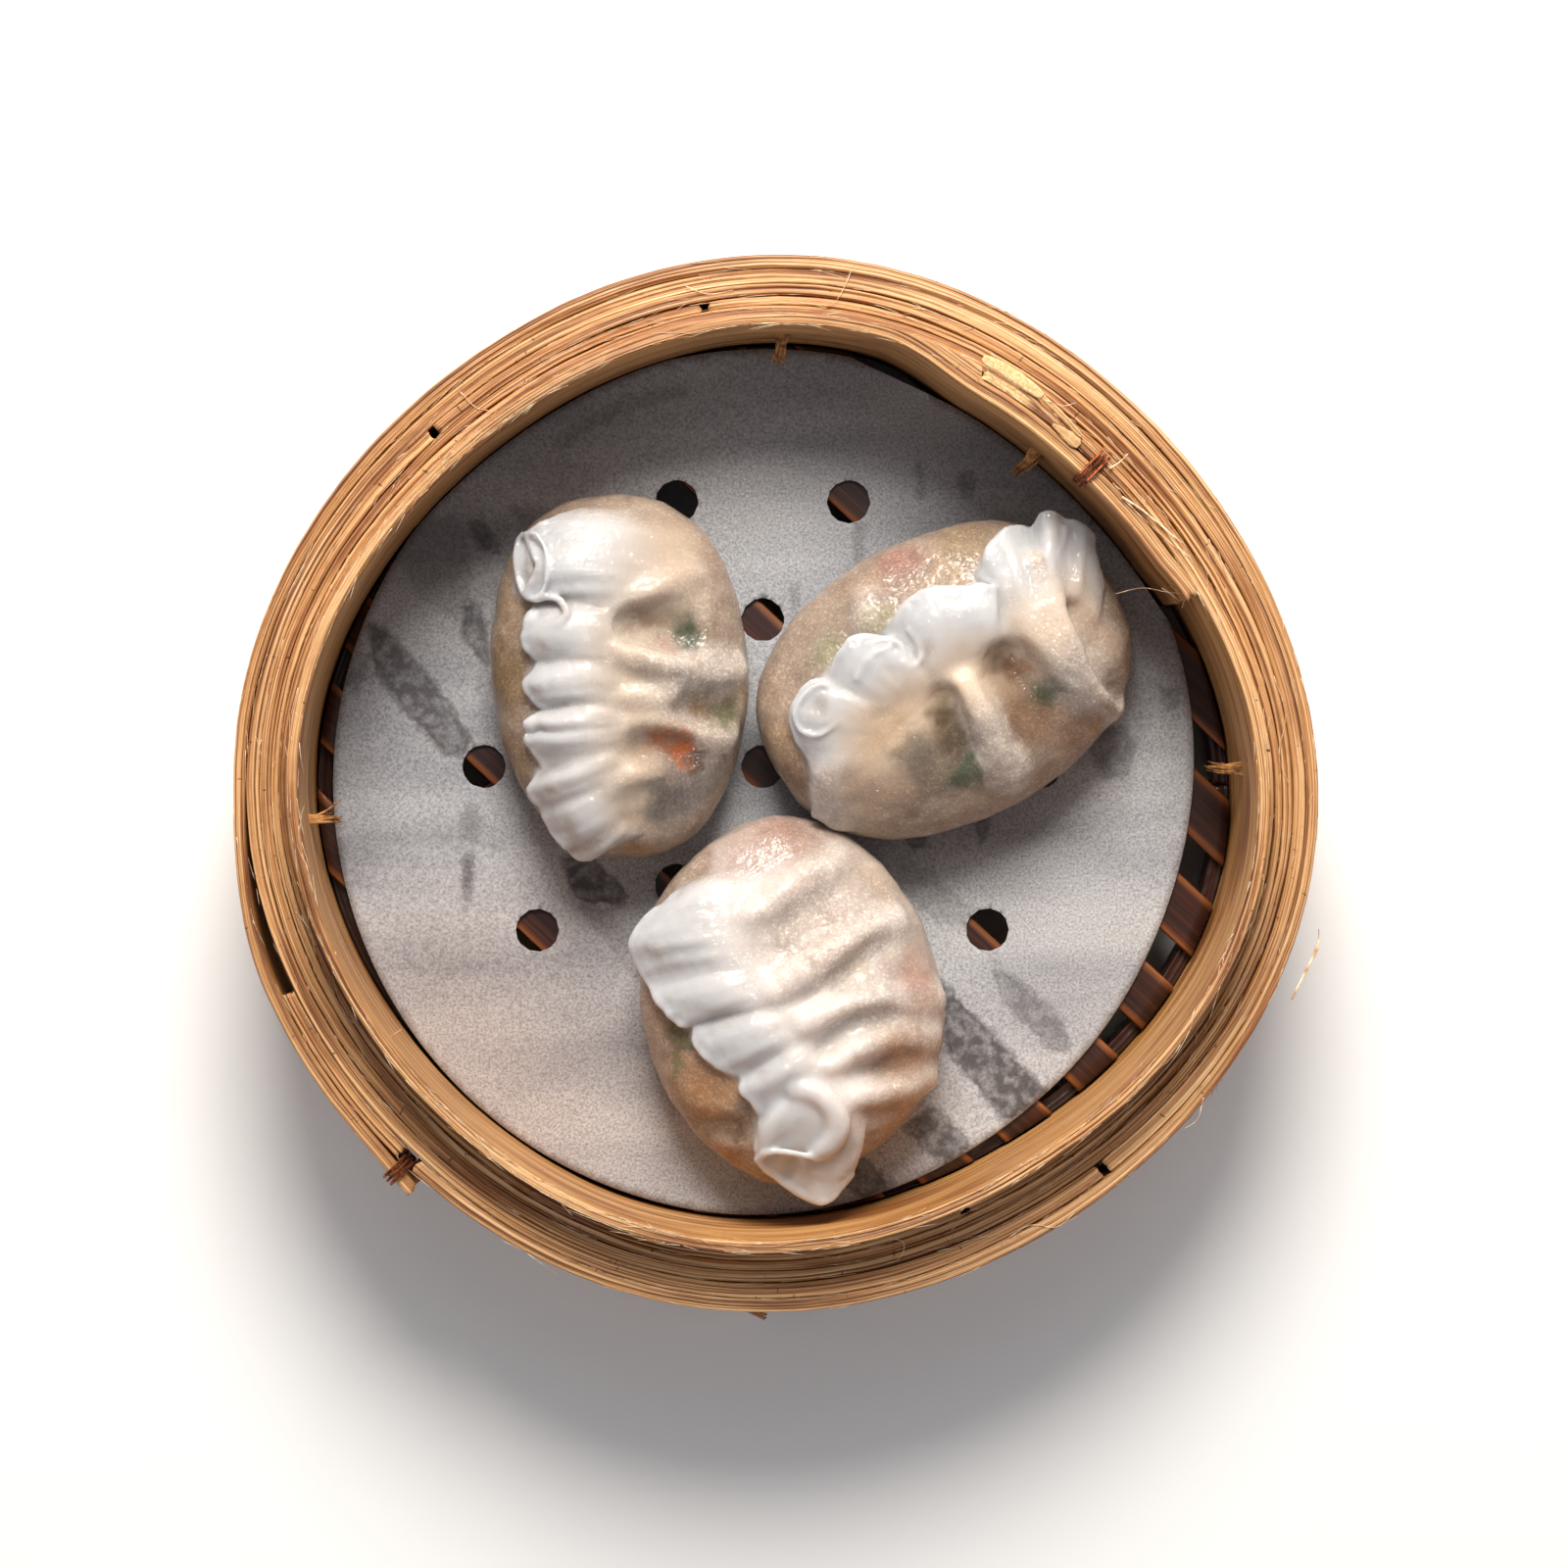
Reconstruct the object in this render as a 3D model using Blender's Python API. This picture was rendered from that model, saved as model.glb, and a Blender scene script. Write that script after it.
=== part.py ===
"""Three steamed crystal-skin dumplings in a small round bamboo steamer with a perforated paper liner.

Metres, +Z up. The steamer stands on z = 0 and the origin is the middle of its footprint box.
Lengths below are in millimetres unless their comment says otherwise.
"""

import math

import bmesh
import bpy
from mathutils import Matrix, Vector, geometry, noise

MM = 0.001
GAP = 0.3  # clearance between neighbouring pieces
SEGMENTS = 48  # straight facets in one full turn of a hoop

# The strip ends stand out on the front side, so the steamer's own axis lies behind the origin
AXIS_Y = 2.4

# Inner hoop: one split-bamboo strip wound once round, its ends overlapping
HOOP_RADIUS = 72.7  # mean radius of its inner face
HOOP_WALL = 1.7
HOOP_BOTTOM = 8.0
HOOP_TOP = 50.0
HOOP_START = 25.0  # degrees
HOOP_TURN = 398.0  # degrees
HOOP_EASE = 14.0  # degrees over which the start moves out to the hoop's own line
HOOP_TUCK = 0.6  # extra room between the overlapping ends
HOOP_STEP = HOOP_WALL + GAP + HOOP_TUCK  # how far inside that line the start lies
# A hand-bent hoop is out of round: order of each wave with its cosine and sine height
OUT_OF_ROUND = ((2, 1.66, -0.07), (3, 0.26, -0.51), (4, 1.02, -0.49))

# Main band: five thinner hoops nested round the inner hoop
BAND_RADIUS = 84.4  # mean radius of its outer face
BAND_SHARE = 0.65  # how much of the inner hoop's unevenness reaches the outer face
BAND_BOTTOM = 15.3
BAND_TOP = 42.0
BAND_WIDTHS = (2.0, 1.5, 1.9, 2.35, 2.25)  # strip widths before they are fitted to the band
BAND_JOINTS = (294.0, 98.5, 134.0, 310.5)  # degrees, butt joint of each hoop but the outermost
JOINT_HALF = 0.55  # degrees, half the slit at a butt joint

# The outermost hoop overlaps itself and its end stands out under a wire tie
LAP_START = 203.0  # degrees
LAP_END = 588.0  # degrees, one turn and a bit later
LAP_SLIT = (224.3, 226.5)  # degrees, slit that the wire passes through
LAP_RISE = (539.0, 562.0)  # degrees over which it climbs onto its own start
LAP_BENDS = (545.0, 556.0, 581.0)  # degrees, extra facet angles in the climb and the tail
TAIL_START = 578.0  # degrees
TAIL_FLARE = 1.2

# Lower band: two turns of a thicker strip, its end prised out under a wire tie
BASE_TOP = 13.9
BASE_INSET = 0.6  # its outer face lies this far inside the main band's
BASE_STRIP = 2.0
BASE_TURNS = 2.55
BASE_END = 629.3  # degrees, so it ends at 269.3
BASE_TAIL_START = 617.0  # degrees
BASE_TAIL_FLARE = 5.6
BASE_TAIL_BENDS = (620.0, 624.5)  # degrees, extra facet angles in the tail

# Floor: a ring inside the hoop, two bars across it and the slats on top
RING_BOTTOM = HOOP_BOTTOM
RING_TOP = 14.8
RING_WALL = 2.4
BAR_WIDTH = 7.0
BAR_THICK = 3.0
BAR_SPACING = 62.0
BAR_REACH = 65.1  # radius that the bars' ends keep within
SLAT_ANGLE = -43.0  # degrees from +X, the way the slats run
SLAT_WIDTH = 8.8
SLAT_PITCH = 14.4
SLAT_OFFSET = 1.8  # the middle slat's centre line from the steamer's axis
SLAT_BOTTOM = 15.1
SLAT_THICK = 2.0
SLAT_COUNT = 9
SLAT_REACH = 70.1  # radius that the slats' ends keep within
SLAT_BEVEL = 0.5

# Liner: thin paper with a hole in the middle and two rings of holes
LINER_BOTTOM = 17.4
LINER_THICK = 0.4
LINER_RADIUS = 71.2
LINER_CENTRE = (-0.9, 0.3)
HOLE_CENTRE = (-1.7, 3.0)
HOLE_RADIUS = 3.55
HOLE_RINGS = ((0.0, 1, 0.0), (24.1, 5, 90.0), (45.7, 10, 0.0))  # radius, count, first angle
HOLE_SIDES = 10
LINER_SIDES = 64
LINER_CELL = 12.0  # spacing of the points between the holes
LINER_WAVE = 0.12
LINER_WAVE_SCALE = 17.0

# Ties: copper wire laced to and fro over a strip end
WIRE = 0.5  # diameter
WIRE_PITCH = 0.8
WIRE_STRANDS = 3
WIRE_CORNER = 0.5
WIRE_ROOM = 0.2  # extra room round a strip end that stands out
RIM_TIE = 45.3  # degrees
RIM_TIE_FEET = (9.0, 6.5)  # how far the wire reaches down inside and outside
LAP_TIE_FEET = (8.0, 7.0)
BASE_TIE = 264.5  # degrees
BASE_TIE_FEET = (6.0, 7.0)

# Stitches: flat cane ends that come through the wall and hang inside
STITCH_ANGLES = (2.0, 52.0, 89.0, 184.0)  # degrees
STITCH_Z = 32.0
STITCH_WIDTH = 2.6
STITCH_THICK = 0.6
STITCH_DROP = (0.0, -1.2, -4.2, -8.6)  # height of the bend points below the hole
STITCH_OUT = (0.8, 2.2, 3.8, 4.8)  # distance of the same points from the wall
STITCH_SPREAD = (0.75, 1.1)  # share of its width at the wall and at the tip

# Dumplings: all stand on the liner; each crest flops towards the piece's own +Y side
DUMPLING_BOTTOM = 18.1
BELLY_SHARE = 0.42  # height of the widest level as a share of the whole
LUMP_DEPTH = 0.035  # share of the body's size
LUMP_SIZE = 9.0
PLEAT_WIDTH = 2.6
SKIN_FOLD = 1.7  # thickness of the sealed crest
FOLD_SINK = 2.6  # how deep the crest is rooted in the body
FOLD_RISE = 60.0  # degrees, how steeply the crest leaves the body
FOLD_DROOP = 40.0  # degrees, how far its free edge hangs
BODY_RINGS = 30
BODY_SIDES = 22
CREST_CUTS = 5  # facets across one pleat of the crest
CREST_STEPS = 6
DUMPLINGS = {
    "dumpling_left": {
        "centre": (-25.0, 17.7),
        "turn": 92.0,  # degrees, direction of the crest
        "half_length": 29.3,
        "half_width": 20.7,
        "egg": 0.05,  # how much wider the body is at its +X end
        "skew": 0.02,  # how far the plan leans across the crest
        "height": 20.6,
        "root": -0.8,  # the crest's root line from the middle
        "flap": 18.0,  # width of the crest
        "flap_ends": (0.5, 0.95),  # share of the flap's width left at its two ends
        "folds": (-28.0, -21.5, -15.5, -10.5, -5.0, 1.0, 5.5, 12.0, 24.0),  # ends and creases of its lobes
        "ruffle": 0.8,
        "lean": -0.8,  # sideways lean of its lobes
        "ridges": (-15.0, -3.0, 8.0, 18.0),  # pleats on the other flank
        "ridge_height": 1.2,
    },
    "dumpling_right": {
        "centre": (27.6, 17.1),
        "turn": 31.9,
        "half_length": 30.9,
        "half_width": 23.3,
        "egg": 0.0,
        "skew": -0.04,
        "height": 20.8,
        "root": -0.5,
        "flap": 14.6,
        "flap_ends": (0.7, 0.75),
        "folds": (-23.5, -15.2, -9.5, -4.5, 1.5, 10.0, 15.2, 21.0, 30.5),
        "ruffle": 0.9,
        "lean": 0.7,
        "ridges": (-9.0, 3.0, 15.0),
        "ridge_height": 1.6,
    },
    "dumpling_front": {
        "centre": (2.5, -34.6),
        "turn": 127.6,
        "half_length": 27.7,
        "half_width": 25.0,
        "egg": -0.03,
        "skew": -0.145,
        "height": 21.0,
        "root": 1.2,
        "flap": 17.6,
        "flap_ends": (0.85, 1.1),
        "folds": (-29.0, -21.5, -14.0, -9.8, -5.2, -0.5, 4.5, 13.5, 23.5),
        "ruffle": 0.9,
        "lean": -0.7,
        "ridges": (-12.0, -3.5, 4.5, 12.0),
        "ridge_height": 1.4,
    },
}

BAMBOO = (0.78, 0.55, 0.30)
DARK_BAMBOO = (0.16, 0.07, 0.05)
CANE = (0.50, 0.27, 0.10)
COPPER = (0.48, 0.17, 0.07)
PAPER = (0.62, 0.61, 0.60)
SKIN = (0.74, 0.66, 0.56)


def clear_scene():
    for old in list(bpy.data.objects):
        bpy.data.objects.remove(old, do_unlink=True)


def material(name, colour, roughness, metallic=0.0):
    made = bpy.data.materials.new(name)
    made.use_nodes = True
    shader = made.node_tree.nodes["Principled BSDF"]
    shader.inputs["Base Color"].default_value = (*colour, 1.0)
    shader.inputs["Roughness"].default_value = roughness
    shader.inputs["Metallic"].default_value = metallic
    made.diffuse_color = (*colour, 1.0)
    return made


def add_object(name, mesh, finish, parent):
    made = bpy.data.objects.new(name, mesh)
    bpy.context.scene.collection.objects.link(made)
    made.parent = parent
    mesh.materials.append(finish)
    return made


def mesh_from(name, points, faces, smooth=40.0):
    """A mesh in metres from points in millimetres, its faces turned outwards."""
    mesh = bpy.data.meshes.new(name)
    mesh.from_pydata([Vector(p) * MM for p in points], [], faces)
    shell = bmesh.new()
    shell.from_mesh(mesh)
    bmesh.ops.recalc_face_normals(shell, faces=shell.faces)
    shell.to_mesh(mesh)
    shell.free()
    mesh.shade_smooth()
    mesh.set_sharp_from_angle(angle=math.radians(smooth))
    return mesh


def smoothstep(value, low, high):
    share = min(max((value - low) / (high - low), 0.0), 1.0)
    return share * share * (3.0 - 2.0 * share)


def unevenness(degrees):
    """How far the hand-bent hoop leaves a true circle in this direction."""
    total = 0.0
    for order, cosine, sine in OUT_OF_ROUND:
        turn = math.radians(order * degrees)
        total += cosine * math.cos(turn) + sine * math.sin(turn)
    return total


def hoop_face(degrees):
    return HOOP_RADIUS + unevenness(degrees)


def band_face(degrees):
    return BAND_RADIUS + BAND_SHARE * unevenness(degrees)


def polar(radius, degrees, height):
    turn = math.radians(degrees)
    return (radius * math.cos(turn), radius * math.sin(turn), height)


def angles_between(start, end, extra=()):
    """The hoops' common facet angles between two ends, with a few more where a strip bends."""
    step = 360.0 / SEGMENTS
    inside = [step * i for i in range(math.floor(start / step), math.ceil(end / step) + 1)]
    kept = {a for a in inside if start + 0.3 * step < a < end - 0.3 * step}
    return sorted(kept | {start, end} | set(extra))


def wound_strip(name, angles, inner, outer, low, high):
    """A strip standing on edge along a spiral; inner and outer give its faces' radii."""
    points = []
    for a in angles:
        near, far = inner(a), outer(a)
        points += [polar(near, a, low), polar(far, a, low), polar(far, a, high), polar(near, a, high)]
    faces = [(0, 1, 2, 3), tuple(len(points) - k for k in (1, 2, 3, 4))]
    for i in range(len(angles) - 1):
        here, there = 4 * i, 4 * (i + 1)
        for k in range(4):
            n = (k + 1) % 4
            faces.append((here + k, there + k, there + n, here + n))
    return mesh_from(name, points, faces)


def build_inner_hoop(finish, parent):
    end = HOOP_START + HOOP_TURN
    meets = end - 360.0

    def inner(a):
        # The first stretch runs inside the last one, then moves out to the hoop's own line
        return hoop_face(a) - HOOP_STEP * (1.0 - smoothstep(a, meets, meets + HOOP_EASE))

    angles = angles_between(HOOP_START, end)
    mesh = wound_strip("inner_hoop", angles, inner, lambda a: inner(a) + HOOP_WALL, HOOP_BOTTOM, HOOP_TOP)
    return add_object("inner_hoop", mesh, finish, parent)


def wall_face(degrees, margin):
    """The wall's innermost face, that of its inside end also a margin of degrees beyond the overlap."""
    last = HOOP_START + HOOP_TURN - 360.0 + HOOP_EASE
    doubled = HOOP_START - margin < degrees < last + margin
    return hoop_face(degrees) - (HOOP_STEP if doubled else 0.0)


def band_lane(number):
    """Inner and outer radius functions of one nested hoop of the main band."""
    total = sum(BAND_WIDTHS)
    before = sum(BAND_WIDTHS[:number]) / total
    after = before + BAND_WIDTHS[number] / total

    def width(a):
        return band_face(a) - hoop_face(a) - HOOP_WALL

    def inner(a):
        return hoop_face(a) + HOOP_WALL + width(a) * before + GAP

    def outer(a):
        return hoop_face(a) + HOOP_WALL + width(a) * after

    return inner, outer


def build_band(finish, parent):
    for number, joint in enumerate(BAND_JOINTS):
        inner, outer = band_lane(number)
        angles = angles_between(joint + JOINT_HALF, joint + 360.0 - JOINT_HALF)
        name = f"band_hoop_{number + 1}"
        mesh = wound_strip(name, angles, inner, outer, BAND_BOTTOM, BAND_TOP)
        add_object(name, mesh, finish, parent)
    build_outer_hoop(finish, parent)


def build_outer_hoop(finish, parent):
    """The outermost hoop: a short start, the wire's slit, then a full turn up to the free tail."""
    inner, outer = band_lane(len(BAND_WIDTHS) - 1)

    def lift(a):
        climb = (outer(a) - inner(a) + GAP) * smoothstep(a, *LAP_RISE)
        flare = TAIL_FLARE * max(a - TAIL_START, 0.0) ** 2 / (LAP_END - TAIL_START) ** 2
        return climb + flare

    stretches = ((LAP_START, LAP_SLIT[0], ()), (LAP_SLIT[1], LAP_END, LAP_BENDS))
    for number, (start, end, extra) in enumerate(stretches):
        name = f"outer_hoop_{number + 1}"
        angles = angles_between(start, end, extra)
        mesh = wound_strip(
            name,
            angles,
            lambda a: inner(a) + lift(a),
            lambda a: outer(a) + lift(a),
            BAND_BOTTOM,
            BAND_TOP,
        )
        add_object(name, mesh, finish, parent)


def base_faces():
    """Radius functions of the lower band's spiral strip."""
    start = BASE_END - 360.0 * BASE_TURNS

    def inner(a):
        first = hoop_face(a) + HOOP_WALL + GAP
        last = band_face(a) - BASE_INSET - BASE_STRIP
        flare = BASE_TAIL_FLARE * (max(a - BASE_TAIL_START, 0.0) / (BASE_END - BASE_TAIL_START)) ** 1.5
        return first + (last - first) * (a - start) / (BASE_END - start) + flare

    return start, inner


def build_base(finish, parent):
    start, inner = base_faces()
    angles = angles_between(start, BASE_END, BASE_TAIL_BENDS)
    mesh = wound_strip("base_hoop", angles, inner, lambda a: inner(a) + BASE_STRIP, 0.0, BASE_TOP)
    return add_object("base_hoop", mesh, finish, parent)


def build_ring(finish, parent):
    """A closed ring inside the hoop that the slats and bars rest against."""
    step = 360.0 / SEGMENTS
    points = []
    for i in range(SEGMENTS):
        a = step * i
        far = wall_face(a, 1.1 * step) - GAP
        near = far - RING_WALL
        points += [
            polar(near, a, RING_BOTTOM),
            polar(far, a, RING_BOTTOM),
            polar(far, a, RING_TOP),
            polar(near, a, RING_TOP),
        ]
    faces = []
    for i in range(SEGMENTS):
        here, there = 4 * i, 4 * ((i + 1) % SEGMENTS)
        for k in range(4):
            n = (k + 1) % 4
            faces.append((here + k, there + k, there + n, here + n))
    return add_object("floor_ring", mesh_from("floor_ring", points, faces), finish, parent)


def bar_mesh(name, length_low, length_high, width, thick, bevel):
    """A bar along X whose ends are cut to the two lengths at its -Y and +Y edges."""
    half = width / 2.0
    outline = [
        (-length_low, -half),
        (length_low, -half),
        (length_high, half),
        (-length_high, half),
    ]
    points = [(x, y, z) for z in (0.0, thick) for x, y in outline]
    faces = [(3, 2, 1, 0), (4, 5, 6, 7)]
    faces += [(k, (k + 1) % 4, 4 + (k + 1) % 4, 4 + k) for k in range(4)]
    mesh = mesh_from(name, points, faces)
    if bevel:
        shell = bmesh.new()
        shell.from_mesh(mesh)
        long_top = [
            e for e in shell.edges
            if all(v.co.z > 0.5 * thick * MM for v in e.verts)
            and abs(e.verts[0].co.y - e.verts[1].co.y) < 0.1 * MM
        ]
        bmesh.ops.bevel(shell, geom=long_top, offset=bevel * MM, segments=1, affect="EDGES")
        shell.to_mesh(mesh)
        shell.free()
    return mesh


def place_bar(made, offset, degrees, height):
    """Puts a bar at a distance across from the axis, running in the given direction."""
    turn = Matrix.Rotation(math.radians(degrees), 4, "Z")
    place = turn @ Vector((0.0, offset * MM, 0.0))
    made.location = (place.x, place.y, height * MM)
    made.rotation_euler = (0.0, 0.0, math.radians(degrees))


def build_slats(finish, parent):
    middle = (SLAT_COUNT - 1) / 2.0
    half = SLAT_WIDTH / 2.0
    for number in range(SLAT_COUNT):
        offset = SLAT_OFFSET + SLAT_PITCH * (number - middle)
        ends = [math.sqrt(SLAT_REACH**2 - (offset + side) ** 2) for side in (-half, half)]
        name = f"slat_{number + 1}"
        mesh = bar_mesh(name, ends[0], ends[1], SLAT_WIDTH, SLAT_THICK, SLAT_BEVEL)
        made = add_object(name, mesh, finish, parent)
        place_bar(made, offset, SLAT_ANGLE, SLAT_BOTTOM)


def build_bars(finish, parent):
    half = BAR_WIDTH / 2.0
    for number, side in enumerate((-1.0, 1.0)):
        offset = side * BAR_SPACING / 2.0
        ends = [math.sqrt(BAR_REACH**2 - (offset + edge) ** 2) for edge in (-half, half)]
        name = f"crossbar_{number + 1}"
        mesh = bar_mesh(name, ends[0], ends[1], BAR_WIDTH, BAR_THICK, 0.0)
        made = add_object(name, mesh, finish, parent)
        place_bar(made, offset, SLAT_ANGLE + 90.0, RING_TOP - BAR_THICK)


def hole_centres():
    centres = []
    for radius, count, first in HOLE_RINGS:
        for i in range(count):
            turn = math.radians(first + 360.0 * i / count)
            x = HOLE_CENTRE[0] + radius * math.cos(turn)
            y = HOLE_CENTRE[1] + radius * math.sin(turn)
            centres.append(Vector((x, y)))
    return centres


def liner_edge(degrees):
    """The paper's edge: its own circle, held inside the wall where that is nearer."""
    turn = math.radians(degrees)
    spot = Vector(LINER_CENTRE) + LINER_RADIUS * Vector((math.cos(turn), math.sin(turn)))
    seen = math.degrees(math.atan2(spot.y, spot.x)) % 360.0
    wall = wall_face(seen, 2.0) - GAP
    return spot * min(1.0, wall / spot.length)


def build_liner(finish, parent):
    loops = [[liner_edge(360.0 * i / LINER_SIDES) for i in range(LINER_SIDES)]]
    centres = hole_centres()
    for centre in centres:
        ring = [2.0 * math.pi * i / HOLE_SIDES for i in range(HOLE_SIDES)]
        loops.append([centre + HOLE_RADIUS * Vector((math.cos(a), math.sin(a))) for a in ring])
    points, edges = [], []
    for loop in loops:
        first = len(points)
        points += loop
        edges += [(first + i, first + (i + 1) % len(loop)) for i in range(len(loop))]
    rows = math.ceil(LINER_RADIUS / LINER_CELL)
    for row in range(-rows, rows + 1):
        for column in range(-rows, rows + 1):
            x = LINER_CELL * (column + 0.5 * (row % 2))
            spot = Vector((x, LINER_CELL * row * math.sqrt(0.75)))
            near_hole = any((spot - c).length < HOLE_RADIUS + 0.35 * LINER_CELL for c in centres)
            if not near_hole and spot.length < LINER_RADIUS - 0.45 * LINER_CELL:
                points.append(spot)
    flat, _, triangles, _, _, _ = geometry.delaunay_2d_cdt(points, edges, [], 1, 1e-4)

    def in_hole(triangle):
        middle = sum((flat[i] for i in triangle), Vector((0.0, 0.0))) / 3.0
        return any((middle - c).length < HOLE_RADIUS for c in centres)

    kept = [tuple(t) for t in triangles if not in_hole(t)]
    count = len(flat)
    solid = []
    for level in (LINER_BOTTOM, LINER_BOTTOM + LINER_THICK):
        for spot in flat:
            wave = LINER_WAVE * noise.noise(Vector((spot.x, spot.y, 0.0)) / LINER_WAVE_SCALE)
            solid.append((spot.x, spot.y, level + wave))
    directed = {edge for a, b, c in kept for edge in ((a, b), (b, c), (c, a))}
    rims = sorted(edge for edge in directed if edge[::-1] not in directed)
    faces = [tuple(i + count for i in t) for t in kept] + [t[::-1] for t in kept]
    faces += [(a, b, b + count, a + count) for a, b in rims]
    return add_object("liner", mesh_from("liner", solid, faces, 60.0), finish, parent)


def laced_wire(name, degrees, near, far, top, feet, finish, parent):
    """Copper wire laced over a strip: up inside, across the top, down outside, and back."""
    corner = WIRE_CORNER
    route = []
    for strand in range(WIRE_STRANDS):
        side = (strand - (WIRE_STRANDS - 1) / 2.0) * WIRE_PITCH
        run = [
            (near, side, feet[0]),
            (near, side, top - corner),
            (near + corner, side, top),
            (far - corner, side, top),
            (far, side, top - corner),
            (far, side, feet[1]),
        ]
        route += run if strand % 2 == 0 else run[::-1]
    curve = bpy.data.curves.new(name, "CURVE")
    curve.dimensions = "3D"
    curve.bevel_depth = WIRE * MM / 2.0
    curve.bevel_resolution = 1
    curve.use_fill_caps = True
    spline = curve.splines.new("POLY")
    spline.points.add(len(route) - 1)
    turn = Matrix.Rotation(math.radians(degrees), 4, "Z")
    for point, spot in zip(spline.points, route):
        point.co = (*(turn @ (Vector(spot) * MM)), 1.0)
    made = bpy.data.objects.new(name, curve)
    bpy.context.scene.collection.objects.link(made)
    made.parent = parent
    curve.materials.append(finish)
    return made


def build_ties(finish, parent):
    clear = GAP + WIRE / 2.0
    face = hoop_face(RIM_TIE)
    laced_wire(
        "tie_rim", RIM_TIE, face - HOOP_STEP - clear, face + HOOP_WALL + clear,
        HOOP_TOP + clear, [HOOP_TOP - foot for foot in RIM_TIE_FEET], finish, parent,
    )
    slit = sum(LAP_SLIT) / 2.0
    inner, outer = band_lane(len(BAND_WIDTHS) - 1)
    doubled = 2.0 * outer(slit) - inner(slit) + GAP
    tail = TAIL_FLARE * ((slit + 360.0 - TAIL_START) / (LAP_END - TAIL_START)) ** 2
    laced_wire(
        "tie_outer", slit, (inner(slit) + outer(slit)) / 2.0, doubled + tail + clear + WIRE_ROOM,
        BAND_TOP + clear, [BAND_TOP - foot for foot in LAP_TIE_FEET], finish, parent,
    )
    _, spiral = base_faces()
    inside = spiral(BASE_TIE + 360.0)
    beside = clear + 2.5 * WIRE_ROOM
    laced_wire(
        "tie_base", BASE_TIE, inside - beside, inside + BASE_STRIP + beside,
        BASE_TOP + clear, [BASE_TOP - foot for foot in BASE_TIE_FEET], finish, parent,
    )


def build_stitches(finish, parent):
    spots = [Vector((-out, drop)) for out, drop in zip(STITCH_OUT, STITCH_DROP)]
    last = len(spots) - 1
    for number, degrees in enumerate(STITCH_ANGLES):
        face = wall_face(degrees, 0.0)
        points = []
        for step, spot in enumerate(spots):
            along = spots[min(step + 1, last)] - spots[max(step - 1, 0)]
            across = Vector((-along.y, along.x)).normalized() * STITCH_THICK / 2.0
            spread = STITCH_SPREAD[0] + (STITCH_SPREAD[1] - STITCH_SPREAD[0]) * step / last
            half = STITCH_WIDTH * spread / 2.0
            for side in (-half, half):
                for place in (spot - across, spot + across):
                    points.append((face + place.x, side, STITCH_Z + place.y))
        faces = [(0, 1, 3, 2), tuple(len(points) - k for k in (2, 1, 3, 4))]
        for step in range(last):
            here, there = 4 * step, 4 * (step + 1)
            for a, b in ((0, 1), (1, 3), (3, 2), (2, 0)):
                faces.append((here + a, here + b, there + b, there + a))
        name = f"stitch_{number + 1}"
        made = add_object(name, mesh_from(name, points, faces), finish, parent)
        made.rotation_euler = (0.0, 0.0, math.radians(degrees))


def eased(value, power):
    """A signed power, for plumper or tighter rounding than a circle's."""
    return math.copysign(abs(value) ** power, value)


def body_point(look, along, around):
    """A point on the filled pouch; both angles in radians, the top at a right angle."""
    x = -look["half_length"] * math.cos(along)
    swell = math.sin(along) ** 0.8
    height = look["height"]
    middle = BELLY_SHARE * height
    spot = Vector((x / LUMP_SIZE, math.cos(around), math.sin(around)))
    lumps = 1.0 + LUMP_DEPTH * noise.noise(spot)
    # Pleats fan out from the crest and fade down the flank on the side that shows
    flank = smoothstep(around, 1.2, 1.75) * (1.0 - smoothstep(around, 2.5, 3.5))
    pleat = sum(math.exp(-(((x - ridge) / PLEAT_WIDTH) ** 2)) for ridge in look["ridges"])
    out = look["ridge_height"] * (pleat - 0.45) * flank * swell
    egg = 1.0 + look["egg"] * x / look["half_length"]
    y = (look["half_width"] * egg * swell * lumps + out) * eased(math.cos(around), 0.92)
    dome = (height - middle) * math.sin(along) ** 0.6
    z = middle + (dome * lumps + out) * eased(math.sin(around), 0.9)
    return (x, look["skew"] * x + y, max(z, 0.0))


def body_mesh(name, look):
    points = [body_point(look, 0.0, 0.0)]
    for ring in range(1, BODY_RINGS):
        for side in range(BODY_SIDES):
            angles = (math.pi * ring / BODY_RINGS, 2.0 * math.pi * side / BODY_SIDES)
            points.append(body_point(look, *angles))
    points.append(body_point(look, math.pi, 0.0))
    last = len(points) - 1
    faces = []
    for side in range(BODY_SIDES):
        after = (side + 1) % BODY_SIDES
        faces.append((0, 1 + after, 1 + side))
        faces.append((last, last - BODY_SIDES + side, last - BODY_SIDES + after))
        for ring in range(BODY_RINGS - 2):
            here, there = 1 + ring * BODY_SIDES, 1 + (ring + 1) * BODY_SIDES
            faces.append((here + side, here + after, there + after, there + side))
    return mesh_from(name, points, faces, 80.0)


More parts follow.
